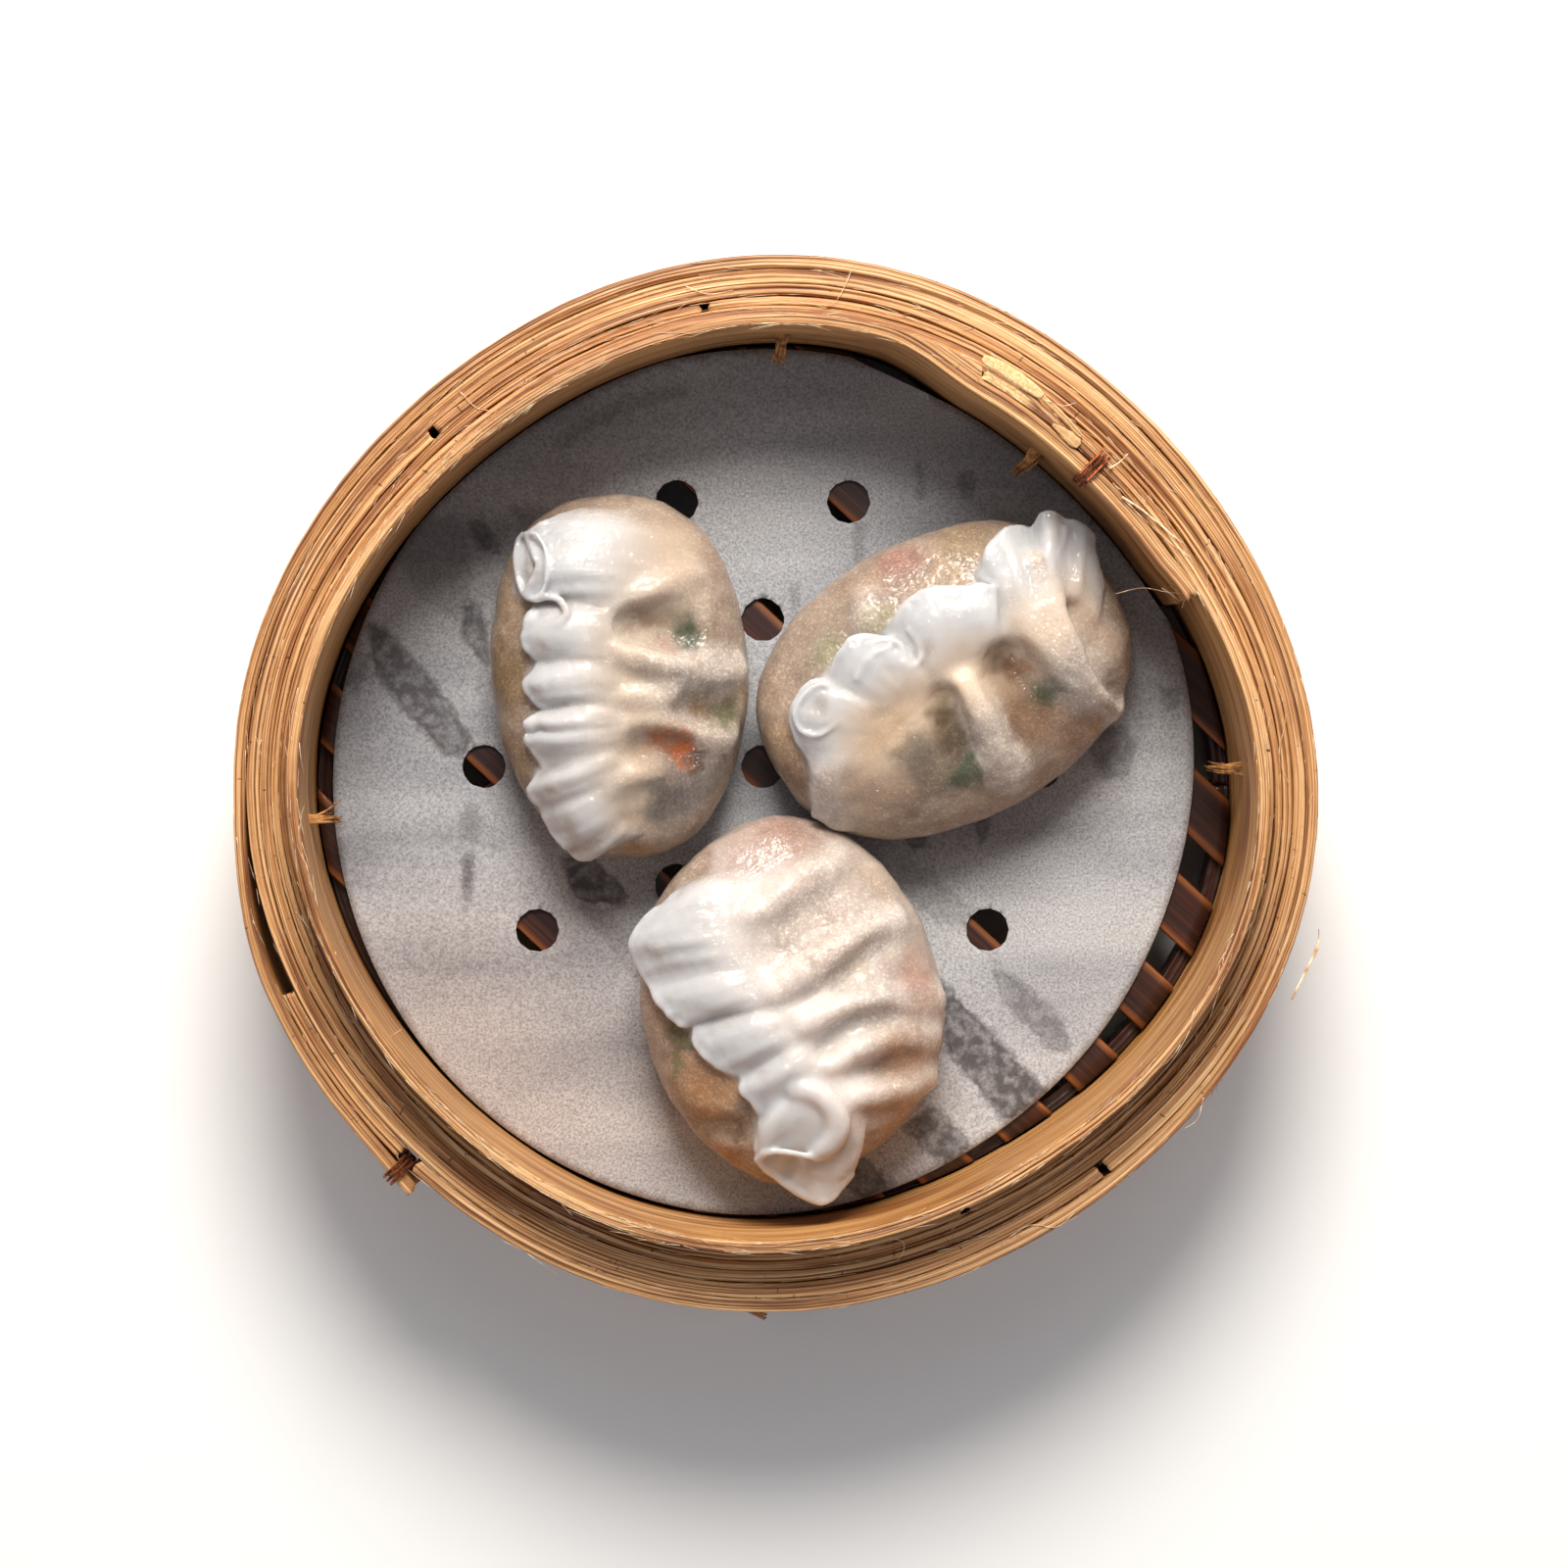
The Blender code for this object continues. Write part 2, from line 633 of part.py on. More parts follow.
def crest_point(look, x, reach, side):
    """A point on the flopped crest: reach runs from root to free edge, side is 1 on top, -1 below."""
    folds = look["folds"]
    share = min(max((x - folds[0]) / (folds[-1] - folds[0]), 0.0), 1.0)
    low = look["flap_ends"][0 if share < 0.5 else 1]
    taper = low + (1.0 - low) * math.sin(math.pi * share) ** 0.45
    index = max(i for i in range(len(folds) - 1) if x >= folds[i] - 1e-6)
    phase = (x - folds[index]) / (folds[index + 1] - folds[index])
    lobe = 2.0 * math.sin(math.pi * min(max(phase, 0.0), 1.0)) ** 0.8 - 1.0
    flap = look["flap"] * taper * (1.0 + 0.07 * lobe * reach)
    # The sheet leaves the body upwards and bends over until it points slightly down
    first, last = math.radians(FOLD_RISE), math.radians(-FOLD_DROOP)
    bend = first + (last - first) * reach
    radius = flap / (first - last)
    across = radius * (math.sin(first) - math.sin(bend))
    rise = radius * (math.cos(bend) - math.cos(first))
    away = math.sqrt(max(1.0 - (x / look["half_length"]) ** 2, 0.0))
    root = look["height"] * (BELLY_SHARE + (1.0 - BELLY_SHARE) * max(away, 0.05) ** 0.6) - FOLD_SINK
    lift = look["ruffle"] * taper * lobe * reach**1.2 + side * SKIN_FOLD * taper / 2.0
    y = look["root"] + across + lift * math.sin(-bend)
    z = root + rise + lift * math.cos(bend)
    slide = look["lean"] * math.sin(math.pi * share) * lobe * reach**2
    return (x + slide, look["skew"] * x + y, z)


def crest_mesh(name, look):
    folds = look["folds"]
    stations = [
        folds[i] + (folds[i + 1] - folds[i]) * k / CREST_CUTS
        for i in range(len(folds) - 1)
        for k in range(CREST_CUTS)
    ] + [folds[-1]]
    points = []
    for side in (1.0, -1.0):
        for x in stations:
            points += [crest_point(look, x, k / CREST_STEPS, side) for k in range(CREST_STEPS + 1)]
    row = CREST_STEPS + 1
    below = len(stations) * row
    faces = []
    for i in range(len(stations) - 1):
        for k in range(CREST_STEPS):
            a, b = i * row + k, (i + 1) * row + k
            faces.append((a, b, b + 1, a + 1))
            faces.append((below + a, below + a + 1, below + b + 1, below + b))
        for k in (0, CREST_STEPS):
            a, b = i * row + k, (i + 1) * row + k
            faces.append((a, b, below + b, below + a))
    for i in (0, len(stations) - 1):
        for k in range(CREST_STEPS):
            a = i * row + k
            faces.append((a, a + 1, below + a + 1, below + a))
    return mesh_from(name, points, faces, 80.0)


def build_dumpling(name, look, finish, parent):
    made = add_object(name, body_mesh(name, look), finish, parent)
    crest = add_object(name + "_crest", crest_mesh(name + "_crest", look), finish, made)
    join = made.modifiers.new("Join crest", "BOOLEAN")
    join.operation = "UNION"
    join.solver = "EXACT"
    join.object = crest
    made.location = (look["centre"][0] * MM, look["centre"][1] * MM, DUMPLING_BOTTOM * MM)
    made.rotation_euler = (0.0, 0.0, math.radians(look["turn"]))
    bpy.context.view_layer.update()
    joined = bpy.data.meshes.new_from_object(made.evaluated_get(bpy.context.evaluated_depsgraph_get()))
    made.modifiers.clear()
    made.data = joined
    bpy.data.objects.remove(crest, do_unlink=True)
    return made


def build_steamer():
    clear_scene()
    parent = bpy.data.objects.new("steamer_axis", None)
    bpy.context.scene.collection.objects.link(parent)
    parent.location = (0.0, AXIS_Y * MM, 0.0)
    bamboo = material("split bamboo", BAMBOO, 0.55)
    dark = material("stained bamboo slat", DARK_BAMBOO, 0.5)
    build_inner_hoop(bamboo, parent)
    build_band(bamboo, parent)
    build_base(bamboo, parent)
    build_ring(bamboo, parent)
    build_bars(dark, parent)
    build_slats(dark, parent)
    build_liner(material("greaseproof paper", PAPER, 0.7), parent)
    build_ties(material("copper wire", COPPER, 0.35, 1.0), parent)
    build_stitches(material("cane", CANE, 0.7), parent)
    skin = material("translucent wheat starch skin", SKIN, 0.3)
    for name, look in DUMPLINGS.items():
        build_dumpling(name, look, skin, parent)
    bpy.context.view_layer.update()


build_steamer()
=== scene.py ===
# Three steamed crystal-skin dumplings on their paper in a small round bamboo steamer.
# Lengths in this file are millimetres, angles are degrees about the steamer's own axis,
# anticlockwise from +X, and a pixel is one of the 1600 x 1600 view of the camera below.

import math

import bpy
import numpy as np
import openvdb
from mathutils import Matrix, Vector, geometry
from mathutils.bvhtree import BVHTree
from mathutils.kdtree import KDTree


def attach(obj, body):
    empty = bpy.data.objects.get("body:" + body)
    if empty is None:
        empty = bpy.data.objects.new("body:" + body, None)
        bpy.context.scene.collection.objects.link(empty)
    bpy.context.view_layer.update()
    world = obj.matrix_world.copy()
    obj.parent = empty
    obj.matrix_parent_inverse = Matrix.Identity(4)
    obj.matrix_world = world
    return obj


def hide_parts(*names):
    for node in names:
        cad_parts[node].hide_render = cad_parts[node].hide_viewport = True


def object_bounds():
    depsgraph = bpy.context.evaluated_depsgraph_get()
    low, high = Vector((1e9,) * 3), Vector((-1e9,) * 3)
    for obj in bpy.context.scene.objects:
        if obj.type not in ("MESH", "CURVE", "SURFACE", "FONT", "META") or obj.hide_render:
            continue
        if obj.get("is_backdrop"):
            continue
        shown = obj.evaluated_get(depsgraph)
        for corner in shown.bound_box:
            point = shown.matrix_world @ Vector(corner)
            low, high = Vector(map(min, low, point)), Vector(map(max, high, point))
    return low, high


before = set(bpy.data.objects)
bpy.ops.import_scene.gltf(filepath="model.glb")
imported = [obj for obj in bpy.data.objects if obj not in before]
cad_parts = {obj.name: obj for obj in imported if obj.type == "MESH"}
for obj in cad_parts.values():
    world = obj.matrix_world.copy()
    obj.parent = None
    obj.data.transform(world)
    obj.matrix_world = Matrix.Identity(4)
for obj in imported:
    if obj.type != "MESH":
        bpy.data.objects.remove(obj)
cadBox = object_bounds()

metre = 1000.0  # lengths are in millimetres here and in metres in Blender
axisY = 2.4  # the steamer's axis lies behind the origin, because strip ends stand out in front


# Colour and nodes

def linear(tone):
    # a linear colour from an sRGB hex one, or from a grey level that is linear already
    if not isinstance(tone, str):
        return [tone, tone, tone, 1.0]
    channels = [int(tone[i:i + 2], 16) / 255 for i in (1, 3, 5)]
    return [c / 12.92 if c <= 0.04045 else ((c + 0.055) / 1.055) ** 2.4 for c in channels] + [1.0]


def addNode(tree, kind, links=None, values=None, ramp=None, get=0, **settings):
    # one shader node with its settings, its socket values and the outputs that feed it;
    # it gives back the output that get names, or the first one
    node = tree.nodes.new("ShaderNode" + kind)
    for name, value in settings.items():
        setattr(node, name, value)
    for socket, value in (values or {}).items():
        node.inputs[socket].default_value = value
    for socket, source in (links or {}).items():
        tree.links.new(source, node.inputs[socket])
    if ramp:
        stops = node.color_ramp.elements
        while len(stops) < len(ramp):
            stops.new(0.5)
        for stop, (place, tone) in zip(stops, ramp):
            stop.position = place
            stop.color = linear(tone)
    return node if get is None else node.outputs[get]


mixing = {"data_type": "RGBA", "get": "Result"}  # what a Mix node is told, to mix two colours
tinting = {**mixing, "blend_type": "MULTIPLY"}  # and to multiply them


def newMaterial(name):
    material = bpy.data.materials.new(name)
    material.use_nodes = True
    material.node_tree.nodes.clear()
    return material, material.node_tree


def finishMaterial(material, links, values):
    # the surface itself and the material's output
    tree = material.node_tree
    surface = addNode(tree, "BsdfPrincipled", links, values)
    addNode(tree, "OutputMaterial", {"Surface": surface}, get=None)
    return material


# Shapes

def smoothstep(value, low, high):
    t = np.clip((value - low) / (high - low), 0, 1)
    return t * t * (3 - 2 * t)


def softNoise(points, size, seed):
    # a smooth random field from -1 to 1 whose lumps are about size across
    table = np.random.default_rng(seed).uniform(-1, 1, (32, 32, 32))
    cell = np.asarray(points) / size + 500
    low = np.floor(cell).astype(int)
    t = cell - low
    t = t * t * (3 - 2 * t)
    total = 0
    for corner in np.ndindex(2, 2, 2):
        weight = np.prod(np.where(corner, t, 1 - t), axis=-1)
        x, y, z = [(low[..., k] + corner[k]) % 32 for k in range(3)]
        total = total + weight * table[x, y, z]
    return total


def addObject(name, data):
    thing = bpy.data.objects.new(name, data)
    bpy.context.scene.collection.objects.link(thing)
    return thing


def newPiece(name, points, faces, material, nodes=(), attributes=None):
    # a smooth mesh piece from points in millimetres, kept inside the whole model's box and riding on the
    # object's one body
    kinds = {(): ("FLOAT", "value"), (3,): ("FLOAT_VECTOR", "vector"), (4,): ("FLOAT_COLOR", "color")}
    points = np.clip(points, *(np.array(cadBox) * metre))
    mesh = bpy.data.meshes.new(name)
    mesh.from_pydata((points / metre).tolist(), [], [list(face) for face in faces])
    for key, values in (attributes or {}).items():
        values = np.asarray(values, np.float32)
        kind, field = kinds[values.shape[1:]]
        mesh.attributes.new(key, kind, "POINT").data.foreach_set(field, values.ravel())
    mesh.polygons.foreach_set("use_smooth", [True] * len(mesh.polygons))
    mesh.materials.append(material)
    mesh.update()
    piece = addObject(name, mesh)
    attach(piece, "root")
    if nodes:
        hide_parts(*nodes)
    return piece


def tubeFaces(rows, sides, turned=False):
    # the faces of a closed tube whose points run round it row by row, then its two ends;
    # turned where the points run round the other way
    faces = []
    for i in range(rows - 1):
        for k in range(sides):
            nextK = (k + 1) % sides
            face = (i * sides + k, i * sides + nextK, (i + 1) * sides + nextK, (i + 1) * sides + k)
            faces.append(face[:1] + face[:0:-1] if turned else face)
    ends = [tuple(range(sides))[::-1], tuple((rows - 1) * sides + k for k in range(sides))]
    return faces + [end[::-1] if turned else end for end in ends]


def joined(parts):
    # several pairs of points and faces as one
    points = []
    faces = []
    start = 0
    for partPoints, partFaces in parts:
        points.append(np.asarray(partPoints, float))
        faces += [tuple(start + i for i in face) for face in partFaces]
        start += len(partPoints)
    return np.concatenate(points), faces


# Camera: nearly straight down, a little from the left, as in the photograph

camera = {
    "place": Vector((-15.0, 9.8, 733.0)),
    "aim": Vector((1.23, 2.77, 42.0)),
    "lens": 100.0,
    "sensor": 36.0,
    "image": 1600,
    "clipEnd": 10000.0,
}

cameraBack = (camera["place"] - camera["aim"]).normalized()
cameraRight = Vector((0, 1, 0)).cross(cameraBack).normalized()
cameraUp = cameraBack.cross(cameraRight)


def buildCamera():
    data = bpy.data.cameras.new("camera")
    data.lens = camera["lens"]
    data.sensor_width = camera["sensor"]
    data.clip_end = camera["clipEnd"] / metre
    eye = addObject("camera", data)
    eye.matrix_world = Matrix((cameraRight, cameraUp, cameraBack)).transposed().to_4x4()
    eye.location = camera["place"] / metre
    bpy.context.scene.camera = eye
    print("camera: placed")


def sightLine(px, py):
    # the direction in which the camera sees a pixel
    focal = camera["lens"] / camera["sensor"] * camera["image"]
    half = camera["image"] / 2
    return (cameraRight * (px - half) + cameraUp * (half - py) - cameraBack * focal).normalized()


def seenAt(px, py, z):
    # the point at height z that shows at a pixel
    line = sightLine(px, py)
    return camera["place"] + line * ((z - camera["place"].z) / line.z)


# Light: a window behind the basket, brighter in its middle, and a white room

light = {
    "place": Vector((-10.0, 565.0, 600.0)),
    # the window's bright middle and all of its pane: diameter, watts and whether it is mirrored
    "lamps": {"core": (400.0, 10.6, True), "veil": (800.0, 1.7, False)},
    "colour": "#fff8ef",
    "roomSides": 1.15,  # the white room is brighter at the sides than overhead
    "roomTop": 0.2,
    "roomTopFrom": 0.8,  # the height of the view's direction, from which it counts as overhead
    "roomColour": "#f4f7ff",
    "floorSpan": 4000.0,
    "floorTones": ("#eeeeed", "#f1f1f0"),
}


def buildLight():
    scene = bpy.context.scene
    scene.view_settings.view_transform = "Standard"
    scene.view_settings.look = "None"
    for name, (size, watts, mirrored) in light["lamps"].items():
        data = bpy.data.lights.new(f"window_{name}", "AREA")
        data.shape = "DISK"
        data.size = size / metre
        data.energy = watts
        data.color = linear(light["colour"])[:3]
        lamp = addObject(f"window_{name}", data)
        lamp.location = light["place"] / metre
        lamp.rotation_euler = (-light["place"]).to_track_quat("-Z", "Y").to_euler()
        lamp.visible_glossy = mirrored
    world = bpy.data.worlds.new("room")
    world.use_nodes = True
    tree = world.node_tree
    way = addNode(tree, "TexCoord", get="Generated")
    height = addNode(tree, "SeparateXYZ", {"Vector": way}, get="Z")
    strength = addNode(tree, "MapRange", {"Value": height},
                       {"From Max": light["roomTopFrom"], "To Min": light["roomSides"],
                        "To Max": light["roomTop"]})
    background = tree.nodes["Background"]
    background.inputs["Color"].default_value = linear(light["roomColour"])
    tree.links.new(strength, background.inputs["Strength"])
    scene.world = world
    print("light: window and room")


def floorMaterial():
    # matt white painted board: even and pale, with no shine
    material, tree = newMaterial("matt_white_board")
    place = addNode(tree, "TexCoord", get="Object")
    cloud = addNode(tree, "TexNoise", {"Vector": place}, {"Scale": 4.0, "Detail": 2.0})
    tone = addNode(tree, "ValToRGB", {"Fac": cloud}, ramp=list(zip((0.3, 0.7), light["floorTones"])))
    return finishMaterial(material, {"Base Color": tone}, {"Roughness": 0.9})


def buildFloor():
    half = light["floorSpan"] / 2 / metre
    mesh = bpy.data.meshes.new("floor")
    corners = [(-half, -half, 0), (half, -half, 0), (half, half, 0), (-half, half, 0)]
    mesh.from_pydata(corners, [], [(0, 1, 2, 3)])
    mesh.materials.append(floorMaterial())
    addObject("floor", mesh)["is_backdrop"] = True


# Bamboo

bamboo = {
    "pale": "#e0b98a",
    "straw": "#c79560",
    "tan": "#a16b3c",
    "line": "#5c351d",
    "tick": "#3f2415",
    "stain": "#a5784e",
    "planed": "#b5803f",  # the even tone that half hides the lines on upright, planed faces
    "pithDark": "#d8a76d",
    "pithPale": "#efcf9d",
    "fibreRun": 60.0,  # a fibre bundle keeps its tone this far along the strip
    "fibreWidth": 0.11,  # and this far across the cut edge; real bundles are 0.1 to 0.2 mm
    "faceWidth": 0.7,  # on the flat face the same bundles show as broader bands
    "stainRun": 28.0,
    "tickRun": 0.35,
    "tickWidth": 2.0,
    "relief": 0.3,
    "stained": 0.75,  # how strongly the stains darken it
    "pithCells": 2200.0,  # per metre: pith cells of 0.45 mm
}


def bambooMaterial():
    # split bamboo, planed and bent with steam: satin, with long brown fibre lines, strongest on
    # the strips' cut edges, stains and short dark ticks where a fibre bundle was torn
    material, tree = newMaterial("split_bamboo_strip")
    grain = addNode(tree, "Attribute", get="Vector", attribute_name="grain")
    pith = addNode(tree, "Attribute", get="Fac", attribute_name="pith")
    across = metre / bamboo["fibreWidth"] / 3
    high = metre / bamboo["faceWidth"] / 3
    fine = addNode(tree, "Mapping", {"Vector": grain}, {"Scale": (metre / bamboo["fibreRun"], across, high)})
    lines = addNode(tree, "TexNoise", {"Vector": fine},
                    {"Scale": 1.0, "Detail": 6.0, "Roughness": 0.7, "Distortion": 0.15})
    # four tones from the dark fibre bundles to the pale flesh between them
    tone = addNode(tree, "ValToRGB", {"Fac": lines},
                   ramp=[(0.39, bamboo["line"]), (0.46, bamboo["tan"]), (0.52, bamboo["straw"]),
                         (0.62, bamboo["pale"])])
    normal = addNode(tree, "NewGeometry", get="True Normal")
    height = addNode(tree, "SeparateXYZ", {"Vector": normal}, get="Z")
    level = addNode(tree, "Math", {0: height}, operation="ABSOLUTE")
    # upright faces are planed and show an even tone, level ones are cut and show their lines
    planed = addNode(tree, "MapRange", {"Value": level},
                     {"From Min": 0.3, "From Max": 0.7, "To Min": 0.5, "To Max": 0.0})
    faced = addNode(tree, "Mix", {"Factor": planed, "A": tone}, {"B": linear(bamboo["planed"])}, **mixing)
    wide = addNode(tree, "Mapping", {"Vector": grain},
                   {"Scale": (metre / bamboo["stainRun"], across / 6, high / 3)})
    stains = addNode(tree, "TexNoise", {"Vector": wide}, {"Scale": 1.0, "Detail": 3.0})
    stain = addNode(tree, "ValToRGB", {"Fac": stains}, ramp=[(0.30, bamboo["stain"]), (0.50, 1.0)])
    toned = addNode(tree, "Mix", {"A": faced, "B": stain}, {"Factor": bamboo["stained"]}, **tinting)
    cuts = addNode(tree, "Mapping", {"Vector": grain},
                   {"Scale": (metre / bamboo["tickRun"] / 2, metre / bamboo["tickWidth"],
                              metre / bamboo["tickWidth"])})
    torn = addNode(tree, "TexNoise", {"Vector": cuts}, {"Scale": 1.0, "Detail": 2.0})
    ticks = addNode(tree, "ValToRGB", {"Fac": torn}, ramp=[(0.71, 0.0), (0.76, 0.9)])
    ticked = addNode(tree, "Mix", {"Factor": ticks, "A": toned}, {"B": linear(bamboo["tick"])}, **mixing)
    cells = addNode(tree, "TexVoronoi", {"Vector": grain}, {"Scale": bamboo["pithCells"]})
    pale = addNode(tree, "ValToRGB", {"Fac": cells},
                   ramp=[(0.15, bamboo["pithPale"]), (0.7, bamboo["pithDark"])])
    ended = addNode(tree, "Mix", {"Factor": pith, "A": ticked, "B": pale}, **mixing)
    relief = addNode(tree, "Bump", {"Height": lines}, {"Strength": 0.6, "Distance": bamboo["relief"] / metre})
    return finishMaterial(material, {"Base Color": ended, "Normal": relief}, {"Roughness": 0.5, "IOR": 1.5})


# The wall: one strip wound once round with lapped ends, and four nested hoops with an outer one

wall = {
    "hoopFace": 72.7,
    "bandFace": 84.4,
    "bandFollows": 0.65,  # the band follows this much of the wall's unevenness
    "outOfRound": ((2, 1.66, -0.07), (3, 0.26, -0.51), (4, 1.02, -0.49)),
    "hoopWall": 1.7,
    "gap": 0.14,
    "lapStep": 2.6,
    "lapShaved": (0.72, 0.28),  # the step's share left at the lap's free end, and what is shaved off
    "lapShave": (25.0, 31.0),
    "lapSlope": (63.0, 77.0),
    "lapFill": 0.75,  # the lapped end is this much thicker, where it is shaved less
    "lapClosed": (63.3, 64.2),
    "hoopTurn": (25.0, 423.0),
    "hoopPith": 415.5,  # from here on the wall's inner face is bare pith
    "pithFade": 2.5,
    "hoopHeights": (8.0, 50.0),
    "bandHeights": (15.3, 42.0),
    "laneWidths": (2.0, 1.5, 1.9, 2.35, 2.25),
    "joints": (294.0, 98.5, 134.0, 310.5),
    "jointHalf": 0.55,
    "outerRuns": ((203.0, 224.3), (226.5, 588.0)),
    "liftFrom": (539.0, 562.0),
    "tailFrom": 578.0,
    "tailLift": 1.2,  # how far the free end stands off, 10 degrees on
    "baseHeights": (0.0, 13.9),
    "baseStrip": 2.0,
    "baseTurn": (-288.7, 629.3),
    "baseFrom": 2.0,  # the spiral starts this far outside the hoop's face
    "baseTo": 2.6,  # and ends this far inside the band's
    "baseTailFrom": 617.0,
    "baseTail": 5.6,
    "ringTurn": (0.0, 359.9),
    "ringHeights": (8.0, 14.8),
    "ringFaces": (2.7, 0.3),  # how far its faces lie inside the wall's
    "ringMargin": 8.25,
    "torn": 0.25,  # how far the fibres of a strip's end break apart, in degrees
    "lapTorn": 0.9,
    "stationsPerDegree": 2.0,
}

# How uneven a split strip is: the size and height of its lumps
strip = {
    "corner": 0.22,
    "grainRadius": 78.0,  # the radius at which the grain's length is counted
    "grainApart": 37.0,  # each strip has its own place in the grain, so far from the last one's
    "cutEdge": (1.5, 0.1),  # the upper cut edge is uneven, between these depths below it
    "layers": (0.36, 0.22),  # the cut edge's own layers
    "layerRun": 0.012,  # which run on along the strip, so their noise is stretched
    "ragged": (1.1, 0.07),
    "waves": (16.0, 0.08, 0.22),  # size, height on the faces and height at the cut edge
    "lumps": (3.0, 0.05),
    "endFibre": 0.5,
    "endRun": 0.8,  # the torn end's unevenness fades over so many degrees
}


def unevenness(angle):
    turn = np.radians(angle)
    return sum(c * np.cos(n * turn) + s * np.sin(n * turn) for n, c, s in wall["outOfRound"])


def hoopFace(angle):
    return wall["hoopFace"] + unevenness(angle)


def bandFace(angle):
    return wall["bandFace"] + wall["bandFollows"] * unevenness(angle)


def lapFace(angle):
    # the wall strip's inner face, stepped in where its free end overlaps it
    left, shaved = wall["lapShaved"]
    step = left + shaved * smoothstep(angle, *wall["lapShave"])
    return hoopFace(angle) - wall["lapStep"] * step * (1 - smoothstep(angle, *wall["lapSlope"]))


def lapFill(angle):
    # the extra thickness that closes the wedge behind the lapped end
    wedge = hoopFace(angle) - lapFace(angle)
    return np.minimum(wedge, wall["lapFill"] + wedge * smoothstep(angle, *wall["lapClosed"]))


def lane(number):
    # inner and outer face of one lane of the band
    widths = wall["laneWidths"]
    before = sum(widths[:number]) / sum(widths)
    after = before + widths[number] / sum(widths)

    def face(share, gap):
        def at(angle):
            width = bandFace(angle) - hoopFace(angle) - wall["hoopWall"]
            return hoopFace(angle) + wall["hoopWall"] + width * share + gap
        return at

    return face(before, wall["gap"]), face(after, 0.0)


def outerLift(angle):
    inner, outer = lane(4)
    lapped = (outer(angle) - inner(angle) + wall["gap"]) * smoothstep(angle, *wall["liftFrom"])
    return lapped + wall["tailLift"] * np.maximum(angle - wall["tailFrom"], 0) ** 2 / 100


def baseInner(angle):
    start, end = wall["baseTurn"]
    first = hoopFace(angle) + wall["baseFrom"]
    last = bandFace(angle) - wall["baseTo"]
    past = np.maximum(angle - wall["baseTailFrom"], 0) / (end - wall["baseTailFrom"])
    return first + (last - first) * (angle - start) / (end - start) + wall["baseTail"] * past ** 1.5


def stripProfile(edge, face):
    # points round a strip's section as (across, corner, height, corner) shares
    bends = [(math.cos(turn), math.sin(turn)) for turn in np.radians((0, 30, 60))]
    points = [(0, 0, t, 1 - 2 * t) for t in np.linspace(0, 1, face)[:-1]]
    points += [(0, 1 - cosine, 1, sine - 1) for cosine, sine in bends]
    points += [(t, 1 - 2 * t, 1, 0) for t in np.linspace(0, 1, edge)]
    points += [(1, cosine - 1, 1, sine - 1) for cosine, sine in bends[::-1]]
    points += [(1, 0, t, 1 - 2 * t) for t in np.linspace(1, 0, face)[1:]]
    points += [(t, 1 - 2 * t, 0, 0) for t in np.linspace(1, 0, 4)]
    return np.array(points)


def sweepStrip(angles, inner, outer, bottom, top, seed, torn):
    # a bent strip: its points, its faces and its grain coordinates in metres
    profile = stripProfile(17, 9)
    width = (outer - inner)[:, None]
    height = np.broadcast_to(top - bottom, angles.shape)[:, None]
    across = profile[:, 0] * width + profile[:, 1] * strip["corner"]
    up = profile[:, 2] * height + profile[:, 3] * strip["corner"]
    run = np.radians(angles)[:, None] * strip["grainRadius"] + across * 0
    place = np.stack([run, across + seed * strip["grainApart"], up], axis=-1)
    below, above = strip["cutEdge"]
    onTop = smoothstep(up, height - below, height - above)
    size, rise = strip["layers"]
    layers = softNoise(place * (strip["layerRun"], 1, 0), size, seed) * rise
    size, rise = strip["ragged"]
    ragged = softNoise(place * (1, 1.6, 0), size, seed + 50) * rise
    size, faceRise, topRise = strip["waves"]
    waves = softNoise(place * (1, 0, 0.4), size, seed + 90)
    size, rise = strip["lumps"]
    radius = inner[:, None] + across + waves * faceRise + softNoise(place, size, seed + 70) * rise
    z = bottom + up + onTop * (layers + ragged + waves * topRise)
    # fibres break at slightly different places at each end
    section = np.stack([across[:1], up[:1], up[:1] * 0], axis=-1)
    uneven = softNoise(section, strip["endFibre"], seed + 30)
    pull = np.exp(-(angles - angles[0]) / strip["endRun"]) - np.exp(-(angles[-1] - angles) / strip["endRun"])
    turn = np.radians(angles[:, None] + uneven.reshape(1, -1) * pull[:, None] * torn)
    points = np.stack([radius * np.cos(turn), radius * np.sin(turn) + axisY, z], axis=-1)
    return points.reshape(-1, 3), tubeFaces(len(angles), len(profile)), place.reshape(-1, 3) / metre


def buildStrip(name, node, ends, innerAt, outerAt, heights, seed, material, pithFrom=None,
               torn=wall["torn"]):
    start, end = ends
    count = int((end - start) * wall["stationsPerDegree"]) + 1
    angles = np.linspace(start, end, count)
    points, faces, grain = sweepStrip(angles, innerAt(angles), outerAt(angles), *heights, seed, torn)
    bare = np.zeros(len(points))
    if pithFrom is not None:
        share = smoothstep(angles, pithFrom, pithFrom + wall["pithFade"])
        bare = np.repeat(share, len(points) // count)
    newPiece(name, points, faces, material, [node], {"grain": grain, "pith": bare})


